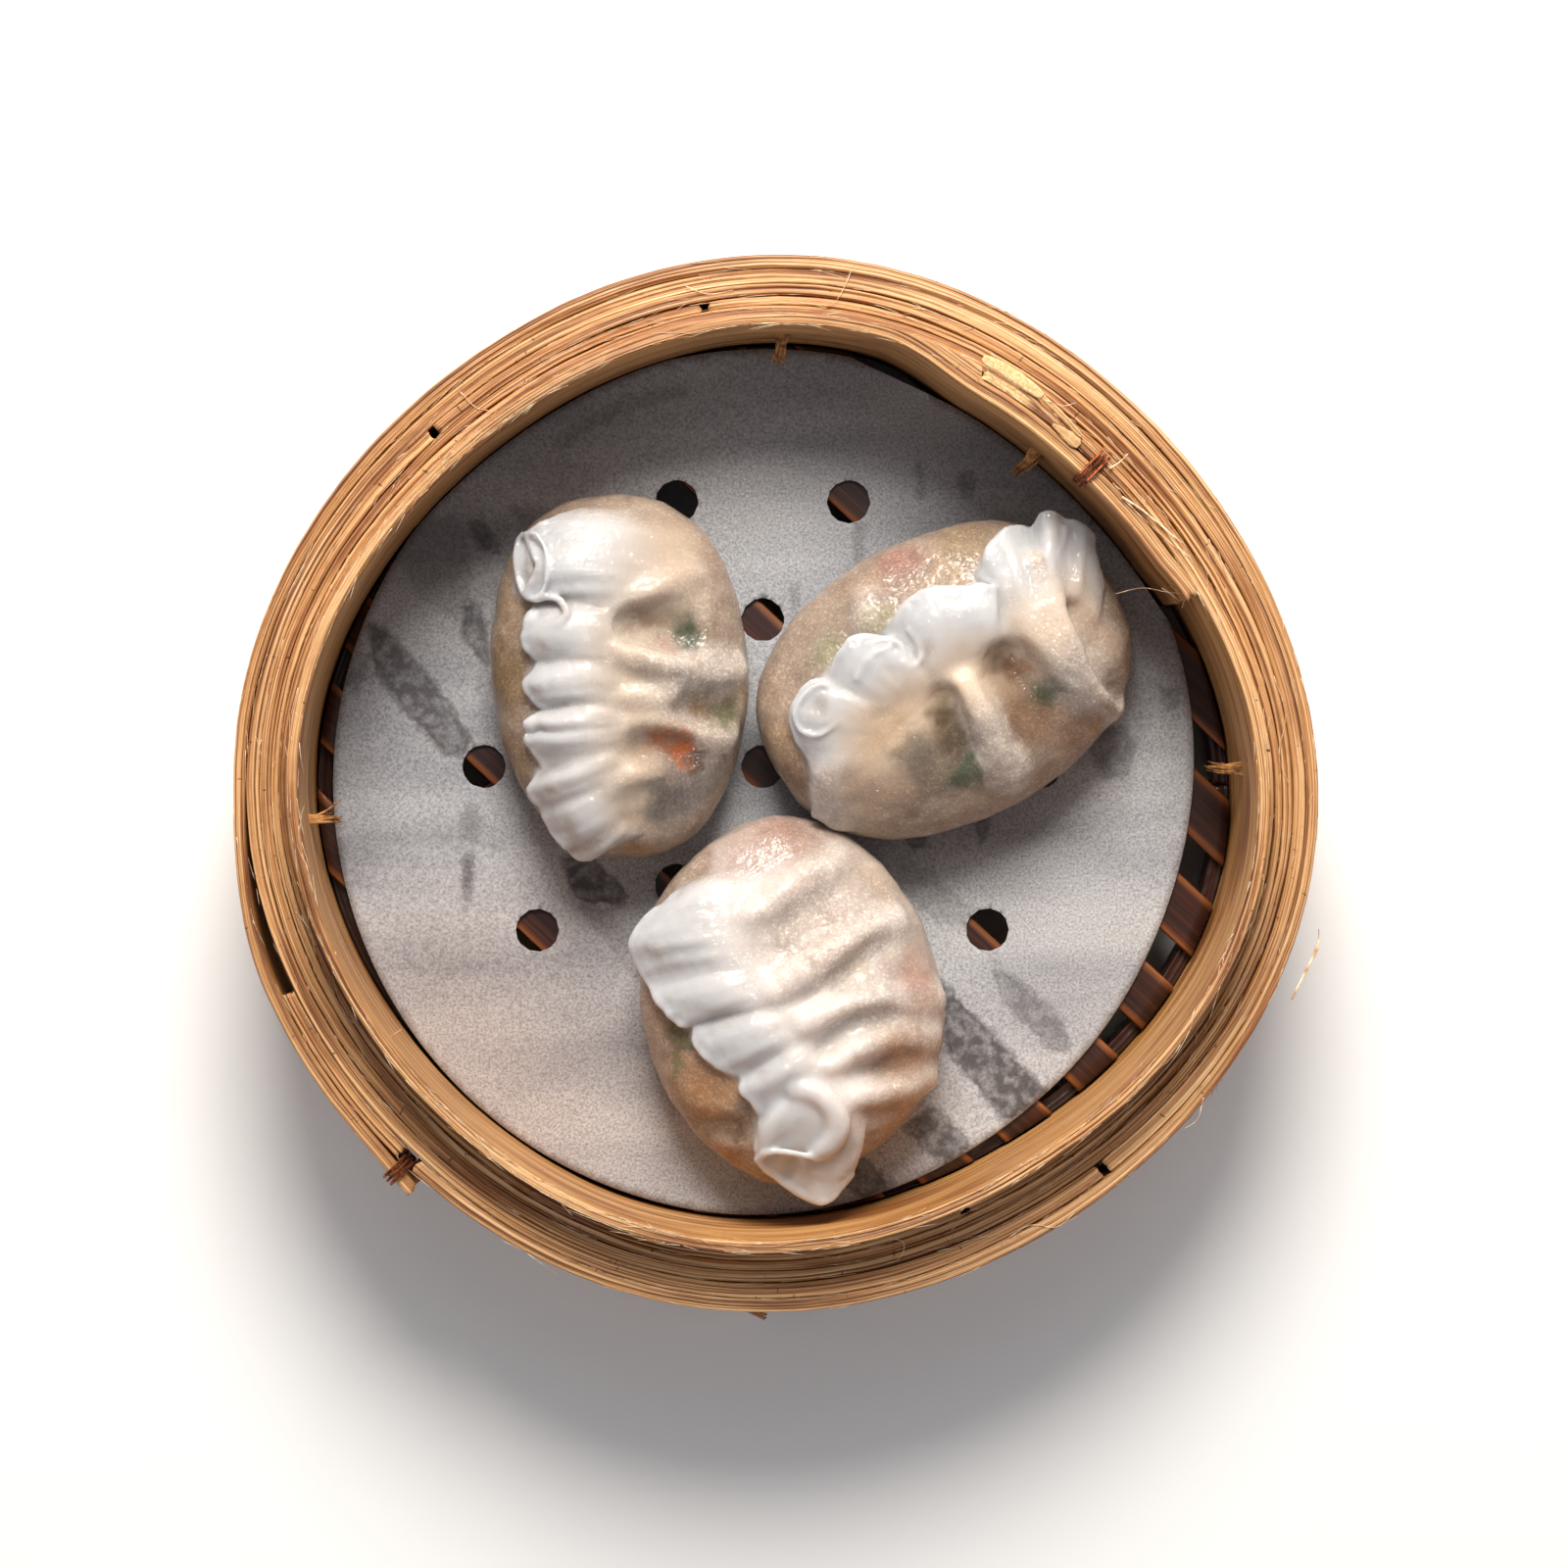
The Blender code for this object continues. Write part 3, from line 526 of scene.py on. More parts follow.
def buildWall():
    material = bambooMaterial()
    buildStrip("wall_strip", "inner_hoop", wall["hoopTurn"], lapFace,
               lambda a: lapFace(a) + wall["hoopWall"] + lapFill(a),
               wall["hoopHeights"], 1, material, wall["hoopPith"], wall["lapTorn"])
    for number, joint in enumerate(wall["joints"]):
        ends = (joint + wall["jointHalf"], joint + 360 - wall["jointHalf"])
        buildStrip(f"band_strip_{number + 1}", f"band_hoop_{number + 1}", ends, *lane(number),
                   wall["bandHeights"], 2 + number, material)
    inner, outer = lane(4)
    for number, ends in enumerate(wall["outerRuns"]):
        buildStrip(f"outer_strip_{number + 1}", f"outer_hoop_{number + 1}", ends,
                   lambda a: inner(a) + outerLift(a), lambda a: outer(a) + outerLift(a),
                   wall["bandHeights"], 6 + number, material)
    buildStrip("base_strip", "base_hoop", wall["baseTurn"], baseInner,
               lambda a: baseInner(a) + wall["baseStrip"], wall["baseHeights"], 8, material)
    ringInner, ringOuter = wall["ringFaces"]
    buildStrip("floor_ring_strip", "floor_ring", wall["ringTurn"],
               lambda a: wallFace(a, wall["ringMargin"]) - ringInner,
               lambda a: wallFace(a, wall["ringMargin"]) - ringOuter, wall["ringHeights"], 9, slatMaterial())
    buildSlivers(material)
    print("wall: strips and hoops")


def wallFace(angle, margin):
    # the face that the basket's contents meet: on the lap's own face for a margin either side of it
    lapped = (angle > wall["hoopTurn"][0] - margin) & (angle < wall["lapSlope"][1] + margin)
    return hoopFace(angle) - np.where(lapped, wall["lapStep"], 0)


# Broken slivers that lie on the lapped rim

slivers = {
    # the height of each one's top, how much of it is bare pith, and pixels with its width there
    "lying": {
        "pith_end": (50.72, 1.0, (1003, 365, 0.9), (1012, 370, 1.9), (1034, 383, 2.1), (1055, 398, 1.8),
                     (1063, 405, 0.9)),
        "split_edge": (50.6, 0.25, (1052, 395, 0.6), (1075, 415, 1.0), (1097, 438, 1.0), (1104, 446, 0.5)),
        "broken_end": (50.5, 0.4, (1074, 433, 0.5), (1085, 441, 1.5), (1096, 450, 2.0), (1101, 455, 1.0)),
        "split_inside": (50.2, 0.0, (1040, 396, 0.4), (1060, 412, 0.9), (1078, 429, 0.9), (1086, 437, 0.5)),
    },
    "thick": 0.75,
    # the section: shares of the width across and of the thickness down
    "section": ((-0.5, 1.0), (-0.5, 0.15), (-0.32, 0.0), (-0.1, 0.0), (0.1, 0.0), (0.32, 0.0), (0.5, 0.15),
                (0.5, 1.0)),
    "lump": 0.8,
    "lumpHeights": (0.08, 0.08, 0.1),
    "rowRun": 0.6,  # the grain runs on by this much from row to row
    "grainApart": 40.0,
    "steps": 8,
}


def buildSlivers(material):
    section = slivers["section"]
    for number, (name, (top, pith, *stops)) in enumerate(slivers["lying"].items(), 1):
        path = smoothCurve(np.array([[*seenAt(px, py, top), width] for px, py, width in stops]),
                           slivers["steps"])
        ahead = np.gradient(path[:, :2], axis=0)
        ahead /= np.linalg.norm(ahead, axis=1)[:, None]
        aside = np.stack([-ahead[:, 1], ahead[:, 0], ahead[:, 0] * 0], axis=-1)
        points = np.array([place[:3] + side * place[3] * across - (0, 0, down * slivers["thick"])
                           for place, side in zip(path, aside) for across, down in section])
        points += softNoise(points, slivers["lump"], 60 + number)[:, None] * slivers["lumpHeights"]
        grain = np.array([(row * slivers["rowRun"], across * place[3] + slivers["grainApart"] * number, -down)
                          for row, place in enumerate(path) for across, down in section]) / metre
        newPiece(name, points, tubeFaces(len(path), len(section), turned=True), material, (),
                 {"grain": grain, "pith": np.full(len(points), pith)})
    print("slivers:", len(slivers["lying"]))


# The floor of slats and bars

slats = {
    "direction": -43.0,
    "width": 8.8,
    "pitch": 14.4,
    "middle": 1.8,
    "heights": (15.1, 17.1),
    "count": 9,
    "reach": 70.1,
    "barDirection": 47.0,
    "barWidth": 7.0,
    "barSpacing": 62.0,
    "barHeights": (11.8, 14.8),
    "barReach": 65.1,
    "corner": 0.45,
    "stations": 60,
    "grainApart": 23.0,
    "sag": (9.0, 0.10, 0.1),  # the upper face's dips: size, height and mean depth
    "bend": (25.0, 0.15),  # how it bends sideways: size and amount
    "ringMargin": 1.5,
    "upper": 0.9,  # the share of its height above which a slat's section counts as its upper face
    "litEdge": (0.46, 0.5),  # and its painted highlight along the upper edges: so far from its middle line, and so high
    "clear": 0.5,  # a slat ends this far short of the wall
    "streaks": (20.0, 1100.0, 600.0),  # streaks per metre along it, across it and up it
    "wet": "#1c0d09",
    "dark": "#331712",
    "brown": "#4d2618",
    # the colour of the painted highlight on the slats' upper edges
    "edge": "#a55f2c",
}


def slatMaterial():
    # split bamboo stained by steam and tea-brown juices: dark, damp satin, with a painted orange highlight
    # along its upper edges
    material, tree = newMaterial("steam_stained_bamboo_slat")
    grain = addNode(tree, "Attribute", get="Vector", attribute_name="grain")
    lit = addNode(tree, "Attribute", get="Fac", attribute_name="lit")
    fine = addNode(tree, "Mapping", {"Vector": grain}, {"Scale": slats["streaks"]})
    lines = addNode(tree, "TexNoise", {"Vector": fine}, {"Scale": 1.0, "Detail": 4.0})
    tone = addNode(tree, "ValToRGB", {"Fac": lines},
                   ramp=[(0.32, slats["wet"]), (0.55, slats["dark"]), (0.75, slats["brown"])])
    # painted highlight: the upper edges are mixed towards orange, broken up by the lines
    edgeLight = addNode(tree, "Math", {0: lit, 1: lines}, operation="MULTIPLY")
    edged = addNode(tree, "Mix", {"Factor": edgeLight, "A": tone}, {"B": linear(slats["edge"])}, **mixing)
    relief = addNode(tree, "Bump", {"Height": lines}, {"Strength": 0.4, "Distance": bamboo["relief"] / metre})
    return finishMaterial(material, {"Base Color": edged, "Normal": relief},
                          {"Roughness": 0.38, "Coat Weight": 0.2, "Coat Roughness": 0.2})


def slatEnd(shift, along, side, way):
    # how far a line across the slats runs before it meets the wall
    run = np.full(shift.shape, slats["reach"] * way)
    for _ in range(4):
        x = run * along[0] + shift * side[0]
        y = run * along[1] + shift * side[1]
        limit = wallFace(np.degrees(np.arctan2(y, x)) % 360, slats["ringMargin"]) - slats["clear"]
        run = way * np.sqrt(np.maximum(limit ** 2 - shift ** 2, 1))
    return run


def buildBar(name, node, direction, offset, width, heights, reach, seed, material):
    # one rounded bar lying across the basket, a little wavy; without a reach it runs to the wall
    turn = math.radians(direction)
    along = np.array([math.cos(turn), math.sin(turn)])
    side = np.array([-along[1], along[0]])
    profile = stripProfile(9, 3)
    bottom, top = heights
    across = profile[:, 0] * width + profile[:, 1] * slats["corner"] - width / 2
    up = profile[:, 2] * (top - bottom) + profile[:, 3] * slats["corner"]
    if reach:
        last = np.full(across.shape, math.sqrt(reach ** 2 - (abs(offset) + width / 2) ** 2))
        first = -last
    else:
        first, last = [slatEnd(offset + across, along, side, way) for way in (-1, 1)]
    share = np.linspace(0, 1, slats["stations"])[:, None]
    run = first * (1 - share) + last * share
    place = np.stack([run, across + 0 * run + seed * slats["grainApart"], up + 0 * run], axis=-1)
    size, rise, depth = slats["sag"]
    dips = softNoise(place * (1, 1.5, 0), size, seed) * rise - depth
    drop = np.where(profile[:, 2] > slats["upper"], dips, 0)
    size, amount = slats["bend"]
    shift = offset + across + softNoise(place * (1, 0, 0), size, seed + 3) * amount
    x = run * along[0] + shift * side[0]
    y = run * along[1] + shift * side[1] + axisY
    points = np.stack([x, y, bottom + up + drop], axis=-1)
    # the upper edges of both sides, which carry the painted highlight
    aside, high = slats["litEdge"]
    litEdge = (np.abs(profile[:, 0] - 0.5) > aside) & (profile[:, 2] > high)
    litEdge = np.broadcast_to(litEdge, run.shape)
    newPiece(name, points.reshape(-1, 3), tubeFaces(len(share), len(profile), turned=True), material,
             [node],
             {"grain": place.reshape(-1, 3) / metre, "lit": litEdge.astype(float).ravel()})


def buildSlats():
    material = slatMaterial()
    for number in range(slats["count"]):
        offset = slats["middle"] + slats["pitch"] * (number - (slats["count"] - 1) / 2)
        buildBar(f"floor_slat_{number + 1}", f"slat_{number + 1}", slats["direction"], offset,
                 slats["width"], slats["heights"], None, 20 + number, material)
    for number, side in enumerate((-1, 1)):
        buildBar(f"floor_bar_{number + 1}", f"crossbar_{number + 1}", slats["barDirection"],
                 side * slats["barSpacing"] / 2, slats["barWidth"], slats["barHeights"],
                 slats["barReach"], 40 + number, material)
    print("floor: slats and bars")


# The paper

paper = {
    "z": 17.6,
    "thick": 0.2,
    "radius": 71.2,
    "centre": (-0.9, 0.3),
    "holeCentre": (-1.7, 3.0),
    "holeRadius": 3.55,
    "holeSides": 48,
    "rings": ((0.0, 1, 0.0), (24.1, 5, 90.0), (45.7, 10, 0.0)),  # radius, holes and first angle
    "gap": 0.3,
    "lapMargin": 2.0,
    "mesh": 1.0,  # how far apart the sheet's inner points are
    "meshHalf": (74, 72),  # how far they reach either way
    "meshClear": (0.9, 0.4),  # how far they stay clear of the rim and of the holes
    "ripple": (22.0, 0.16),
    "pale": "#d0d0d1",
    "grey": "#b5b5b7",
    "speck": "#918f90",
    # the colour of the wet patches and of the painted shadows
    "wet": "#423d3f",
    # the colour of the painted warm bounce light, partly the slats showing through
    "pink": "#fae9df",
    "cloudTones": ("#c3c4c9", "#e6e7ea"),
    "warmBounceAt": (470, 1120),  # the painted warm tinge of light bounced off the bamboo wall, partly the slats showing through: its pixel and how far it reaches
    "warmBounceReach": (12.0, 45.0),
    # the drawn-in edge on the right and front: its middle and how far round it is drawn in and
    # fades out, and by how much it is short of the circle
    "shortAt": 322.0,
    "shortFor": (10.0, 62.0),
    "shortBy": 2.6,
    # wet patches, and three painted shadows by the right dumpling, each with its depth and its outline in
    # pixels
    "patches": {
        "west_stripe": (0.85, (374, 630), (395, 642), (445, 696), (484, 755), (476, 771), (454, 772),
                        (420, 736), (379, 684)),
        "west_oval": (0.8, (467, 611), (486, 614), (498, 636), (498, 680), (486, 674), (470, 646)),
        "west_cloud": (0.28, (404, 545), (466, 520), (482, 590), (474, 640), (432, 612), (408, 580)),
        "north_west": (0.8, (476, 533), (492, 530), (508, 555), (514, 568), (489, 561)),
        "under_tube": (0.45, (520, 518), (558, 518), (551, 539), (533, 543)),
        "drip": (0.45, (474, 820), (488, 818), (494, 838), (487, 862), (472, 860), (468, 838)),
        "drip_tail": (0.8, (472, 872), (484, 870), (484, 898), (476, 930), (470, 900)),
        "dot": (0.4, (497, 862), (507, 859), (510, 868), (502, 873)),
        "under_left": (0.95, (573, 874), (601, 871), (642, 908), (636, 924), (595, 924), (579, 905)),
        "under_left_tail": (0.3, (590, 926), (624, 930), (668, 990), (664, 1012), (648, 1000)),
        "south_east_stripe": (0.9, (955, 992), (1071, 1115), (1028, 1148), (963, 1071)),
        "south_stripe": (0.85, (919, 1150), (952, 1125), (996, 1171), (963, 1192)),
        "south_tip": (0.9, (855, 1204), (878, 1178), (917, 1211), (878, 1225)),
        "south_east_oval": (0.6, (1011, 990), (1025, 988), (1060, 1014), (1086, 1044), (1094, 1067),
                            (1086, 1077), (1071, 1071), (1025, 1025)),
        # a painted shadow south of the right dumpling, by a hole in the paper
        "painted_shadow_by_hole": (0.3, (917, 872), (950, 886), (996, 930), (990, 950), (956, 940), (918, 910)),
        "below_hole": (0.25, (1004, 966), (1018, 968), (1026, 986), (1012, 990)),
        # painted shadows just below the right dumpling
        "painted_shadow_right": (0.9, (920, 845), (944, 842), (946, 862), (932, 872)),
        "painted_shadow_right_low": (0.8, (996, 822), (1012, 815), (1010, 845), (1002, 862), (996, 850)),
        "east_cloud": (0.5, (1120, 742), (1146, 736), (1160, 760), (1152, 792), (1126, 798), (1110, 772)),
        "east_spot": (0.5, (1182, 700), (1204, 700), (1206, 724), (1188, 726)),
        "north_mark_a": (0.55, (934, 468), (942, 468), (944, 510), (936, 508)),
        "north_mark_b": (0.5, (974, 482), (994, 478), (998, 500), (982, 514)),
        "hole_drip": (0.45, (870, 532), (884, 532), (880, 584), (872, 586)),
        "centre_drip": (0.4, (804, 600), (814, 596), (820, 648), (812, 652)),
        "west_rim": (0.5, (352, 700), (372, 660), (380, 672), (366, 716)),
        "north_rim": (0.35, (560, 448), (640, 404), (700, 392), (704, 404), (640, 420), (572, 462)),
    },
    "patchSoft": 0.45,
    "tatter": 3.4,  # how far a patch's edge wanders in and out, in millimetres
    "tatters": 600.0,  # per metre: 1.7 mm apart
    "specks": 2500.0,  # per metre: pulp specks of 0.2 to 0.4 mm
    "cloudTurn": 50.0,
    "clouds": (16.0, 62.0, 10.0),  # per metre: clouds of 16 by 60 mm
    "relief": 0.1,
}


def darkPatches(points):
    # how far inside the nearest of the wet patches and painted shadows each point lies, in millimetres, and
    # that patch's depth
    best = np.full(len(points), -30.0)
    stain = np.zeros(len(points))
    for depth, *outline in paper["patches"].values():
        corners = np.array([seenAt(px, py, paper["z"])[:2] for px, py in outline])
        away = np.full(len(points), 1e9)
        inside = np.zeros(len(points), bool)
        for a, b in zip(corners, np.roll(corners, -1, axis=0)):
            span = b - a
            share = np.clip((points[:, :2] - a) @ span / (span @ span), 0, 1)
            away = np.minimum(away, np.hypot(*(points[:, :2] - a - share[:, None] * span).T))
            crosses = (a[1] > points[:, 1]) != (b[1] > points[:, 1])
            left = points[:, 0] < span[0] * (points[:, 1] - a[1]) / (span[1] or 1e-9) + a[0]
            inside ^= crosses & left
        depthIn = np.where(inside, away, -away)
        stain = np.where(depthIn > best, depth, stain)
        best = np.maximum(best, depthIn)
    return best, stain


def paperMaterial():
    # greaseproof paper, pulped and pressed: matt, cool grey with fine fibre specks, cloudy where steam has
    # crept in, with a painted warm tinge of light bounced off the wall near the front left, dark with dry
    # specks and slightly glossy where it is wet through, and the same in the painted shadows by the dumplings
    material, tree = newMaterial("damp_greaseproof_paper")
    place = addNode(tree, "TexCoord", get="Object")
    patchInside = addNode(tree, "Attribute", get="Fac", attribute_name="patchInside")
    stain = addNode(tree, "Attribute", get="Fac", attribute_name="stain")
    specks = addNode(tree, "TexNoise", {"Vector": place},
                     {"Scale": paper["specks"], "Detail": 3.0, "Roughness": 0.65})
    tone = addNode(tree, "ValToRGB", {"Fac": specks},
                   ramp=[(0.31, paper["speck"]), (0.48, paper["grey"]), (0.65, paper["pale"])])
    turned = addNode(tree, "Mapping", {"Vector": place},
                     {"Rotation": (0, 0, math.radians(paper["cloudTurn"])), "Scale": paper["clouds"]})
    clouds = addNode(tree, "TexNoise", {"Vector": turned}, {"Scale": 1.0, "Detail": 4.0})
    darkCloud, paleCloud = paper["cloudTones"]
    shade = addNode(tree, "ValToRGB", {"Fac": clouds},
                    ramp=[(0.34, darkCloud), (0.5, paleCloud), (0.66, 1.0)])
    clouded = addNode(tree, "Mix", {"A": tone, "B": shade}, {"Factor": 1.0}, **tinting)
    # painted warm light bounced off the bamboo wall, partly the slats showing through, tints the paper near
    # the front left
    middle = seenAt(*paper["warmBounceAt"], paper["z"]) / metre
    near = addNode(tree, "VectorMath", {0: place}, {1: tuple(middle)}, get="Value", operation="DISTANCE")
    inner, outer = paper["warmBounceReach"]
    warmBounce = addNode(tree, "MapRange", {"Value": near},
                    {"From Min": inner / metre, "From Max": outer / metre, "To Min": 0.85, "To Max": 0.0})
    tinted = addNode(tree, "Mix", {"Factor": warmBounce, "A": clouded}, {"B": linear(paper["pink"])}, **tinting)
    ragged = addNode(tree, "TexNoise", {"Vector": place}, {"Scale": paper["tatters"], "Detail": 4.0})
    frayed = addNode(tree, "Math", {0: ragged}, {1: paper["tatter"], 2: -paper["tatter"] / 2},
                     operation="MULTIPLY_ADD")
    edge = addNode(tree, "Math", {0: patchInside, 1: frayed}, operation="ADD")
    soaked = addNode(tree, "MapRange", {"Value": edge},
                     {"From Min": -paper["patchSoft"], "From Max": paper["patchSoft"]})
    dry = addNode(tree, "ValToRGB", {"Fac": ragged}, ramp=[(0.42, 1.0), (0.66, 0.52)])
    held = addNode(tree, "Math", {0: soaked, 1: dry}, operation="MULTIPLY")
    # wet patches and painted shadows alike darken the paper and make it glossier
    deep = addNode(tree, "Math", {0: held, 1: stain}, operation="MULTIPLY")
    wet = addNode(tree, "Mix", {"Factor": deep, "A": tinted}, {"B": linear(paper["wet"])}, **mixing)
    relief = addNode(tree, "Bump", {"Height": specks},
                     {"Strength": 0.25, "Distance": paper["relief"] / metre})
    gloss = addNode(tree, "MapRange", {"Value": deep}, {"To Min": 0.75, "To Max": 0.45})
    return finishMaterial(material, {"Base Color": wet, "Normal": relief, "Roughness": gloss},
                          {"Subsurface Weight": 0.1})


def ringOf(centre, radius, count, first=0.0):
    # evenly spaced points on a circle
    turns = [math.radians(first + 360 * number / count) for number in range(count)]
    return [(centre[0] + radius * math.cos(turn), centre[1] + radius * math.sin(turn)) for turn in turns]


def paperRim():
    # the sheet's edge, a point for each degree: a circle, drawn in at one side and cut to the wall
    rim = []
    for degrees in range(360):
        away = np.array([math.cos(math.radians(degrees)), math.sin(math.radians(degrees))])
        offset = (degrees - paper["shortAt"] + 180) % 360 - 180
        short = paper["shortBy"] * (1 - float(smoothstep(abs(offset), *paper["shortFor"])))
        free = np.array(paper["centre"]) + away * (paper["radius"] - short)
        angle = math.degrees(math.atan2(free[1], free[0])) % 360
        limit = float(wallFace(np.array([angle]), paper["lapMargin"])[0]) - paper["gap"]
        rim.append(free * min(1, limit / math.hypot(*free)))
    return np.array(rim)


def buildPaper():
    holes = np.array([place for radius, count, first in paper["rings"]
                      for place in ringOf(paper["holeCentre"], radius, count, first)])
    rim = paperRim()
    flat = [tuple(p) for p in rim]
    edges = [(i, (i + 1) % len(rim)) for i in range(len(rim))]
    for hole in holes:
        start = len(flat)
        sides = paper["holeSides"]
        flat += ringOf(hole, paper["holeRadius"], sides)
        edges += [(start + k, start + (k + 1) % sides) for k in range(sides)]
    step = paper["mesh"]
    reachX, reachY = paper["meshHalf"]
    fromRim, fromHole = paper["meshClear"]
    for row, y in enumerate(np.arange(-reachY, reachY, step)):
        for x in np.arange(-reachX, reachX, step) + (row % 2) * step / 2:
            fromMiddle = np.array([x, y]) - paper["centre"]
            turn = math.degrees(math.atan2(fromMiddle[1], fromMiddle[0])) % 360
            edgePoint = rim[int(turn) % 360] - paper["centre"]
            inside = np.hypot(*fromMiddle) < np.hypot(*edgePoint) - fromRim
            clear = np.hypot(*(holes - (x, y)).T).min() > paper["holeRadius"] + fromHole
            if inside and clear:
                flat.append((x, y))
    spots, _, triangles, *_ = geometry.delaunay_2d_cdt([Vector(p) for p in flat], edges, [], 1, 1e-4, False)
    spots = np.array([tuple(p) for p in spots])
    faces = []
    for triangle in triangles:
        middle = spots[list(triangle)].mean(axis=0)
        if np.hypot(*(holes - middle).T).min() > paper["holeRadius"] * 0.97:
            faces.append(tuple(triangle))
    size, rise = paper["ripple"]
    waves = softNoise(np.c_[spots, spots[:, :1] * 0], size, 61) * rise
    top = np.c_[spots[:, 0], spots[:, 1] + axisY, paper["z"] + paper["thick"] / 2 + waves]
    points = np.concatenate([top, top - (0, 0, paper["thick"])])
    count = len(spots)
    sides = dict.fromkeys((a, b) for face in faces for a, b in zip(face, face[1:] + face[:1]))
    allFaces = faces + [tuple(count + i for i in face[::-1]) for face in faces]
    allFaces += [(b, a, count + a, count + b) for a, b in sides if (b, a) not in sides]
    patchInside, stain = darkPatches(points)
    newPiece("paper_sheet", points, allFaces, paperMaterial(), ["liner"],
             {"patchInside": patchInside, "stain": stain})
    print("paper: sheet with", len(holes), "holes")


# Wire ties, cane ends and loose fibres

wire = {"bright": "#a65730", "dark": "#4d2115", "blotches": 1200.0}  # blotches 0.8 mm apart

cane = {
    "pale": "#cf9452",
    "brown": "#6b3f1b",
    "fibres": 30,
    "fibreRadius": 0.16,
    "root": 32.0,
    "ends": (2.0, 52.0, 89.0, 184.0),  # where a cane end stands out of the wall, in degrees
    # a fibre's course: shares of its length, and how far out of the wall and down it is there
    "share": (0, 0.3, 0.65, 1.0),
    "out": (-0.6, 2.2, 3.8, 4.8),
    "drop": (0.0, -1.2, -4.2, -8.6),
    "halfWidth": 1.1,
    "lapMargin": 2.0,
    "loose": 0.14,  # the share of its fibres that stray from the bundle
    "stray": (1.2, 0.33),  # how widely those and the others spread
    "start": 0.42,
    "length": (0.55, 1.02),
    "taper": (1.5, 0.45),
    "thickness": (0.7, 1.3),
}

fuzz = {
    "pale": "#fbe6c4",
    "brown": "#c08a55",
    "radius": 0.055,
    "strands": 650.0,  # per metre: its tone changes every 1.5 mm
    "count": 950,
    "onRim": 0.4,  # the share of the hairs that lie on the wall's own rim
    "rimFaces": (0.1, 1.6),  # there they lie along either face of its strip
    "scatter": 0.1,
    "length": (1.5, 7.0),
    "rise": (0.05, 0.45),
    "drift": 0.45,
    "bend": 0.3,
    "sunk": 0.15,  # a hair starts this far under the rim
    "sides": (3, 5),  # of a fine hair's tube and of a stray hair's
    "farthest": 86.0,
    # long stray hairs and splinters: height, share of the radius above, and pixels
    "hairs": {
        "north": (42.4, 1.3, (869, 275), (862, 292), (852, 308), (836, 315)),
        "north_east": (50.4, 1.3, (1146, 509), (1170, 532), (1192, 552), (1216, 570)),
        "pith_side": (50.6, 1.3, (1066, 408), (1084, 414), (1098, 411)),
        "east": (42.4, 1.3, (1300, 690), (1312, 730), (1305, 770), (1315, 800)),
        "south_east": (42.4, 1.3, (1228, 1120), (1222, 1142), (1208, 1152)),
        "south": (42.4, 1.3, (905, 1262), (922, 1268), (918, 1284), (902, 1290)),
        "south_low": (42.4, 1.3, (1030, 1262), (1052, 1250), (1078, 1252), (1096, 1238)),
        "south_west": (42.4, 1.3, (402, 1085), (396, 1062), (410, 1050)),
        "west": (42.4, 1.3, (302, 930), (316, 950), (322, 975)),
        "north_west": (42.4, 1.3, (470, 400), (486, 416), (508, 420)),
        "top": (42.4, 1.3, (700, 292), (722, 300), (748, 296)),
        "lap_splinter": (50.6, 3.4, (1145, 507), (1166, 521), (1188, 539), (1206, 554)),
        "lap_stub": (50.6, 3.0, (1132, 478), (1142, 472), (1151, 463)),
        "lap_end": (46.0, 2.4, (1194, 598), (1204, 603), (1212, 604), (1222, 604)),
        "lap_end_low": (44.0, 2.0, (1186, 600), (1196, 607), (1204, 613), (1210, 611)),
        "lap_end_hang": (45.0, 1.6, (1200, 596), (1209, 607), (1206, 621)),
        "lap_end_long": (47.0, 0.7, (1138, 606), (1165, 600), (1190, 604), (1207, 606)),
        "lap_end_far": (41.0, 1.2, (1205, 600), (1226, 619), (1240, 641)),
        "side_splinter": (42.6, 6.0, (1350, 948), (1342, 972), (1330, 996), (1318, 1020)),
    },
    # tufts outside the band: angle, height, how far each way, how many and how long
    "tufts": ((-21.0, 36.0, 5.0, 16, 6.0), (-34.0, 38.0, 3.0, 7, 3.0), (52.0, 31.0, 1.2, 14, 1.8),
              (45.0, 38.0, 2.0, 6, 2.0), (184.0, 31.0, 1.2, 12, 1.4)),
    # how they spread and lean, as shares of the reach and the length, and how far they stand out
    "tuftSpread": 0.4,
    "tuftLean": 0.8,
    "tuftOut": 0.45,
}


def thread(path, radii, sides):
    # a thin tapering tube through the points of a path
    path = np.asarray(path, float)
    ahead = np.gradient(path, axis=0)
    ahead /= np.linalg.norm(ahead, axis=1)[:, None] + 1e-9
    aside = np.cross(ahead, (0.13, 0.31, 0.94))
    aside /= np.linalg.norm(aside, axis=1)[:, None] + 1e-9
    above = np.cross(aside, ahead)
    turns = np.linspace(0, 2 * math.pi, sides, endpoint=False)
    points = [p + r * (math.cos(t) * s + math.sin(t) * u)
              for p, r, s, u in zip(path, radii, aside, above) for t in turns]
    return points, tubeFaces(len(path), sides)


def ringPoint(angle, radius, z):
    turn = math.radians(angle)
    return np.array([radius * math.cos(turn), radius * math.sin(turn) + axisY, z])


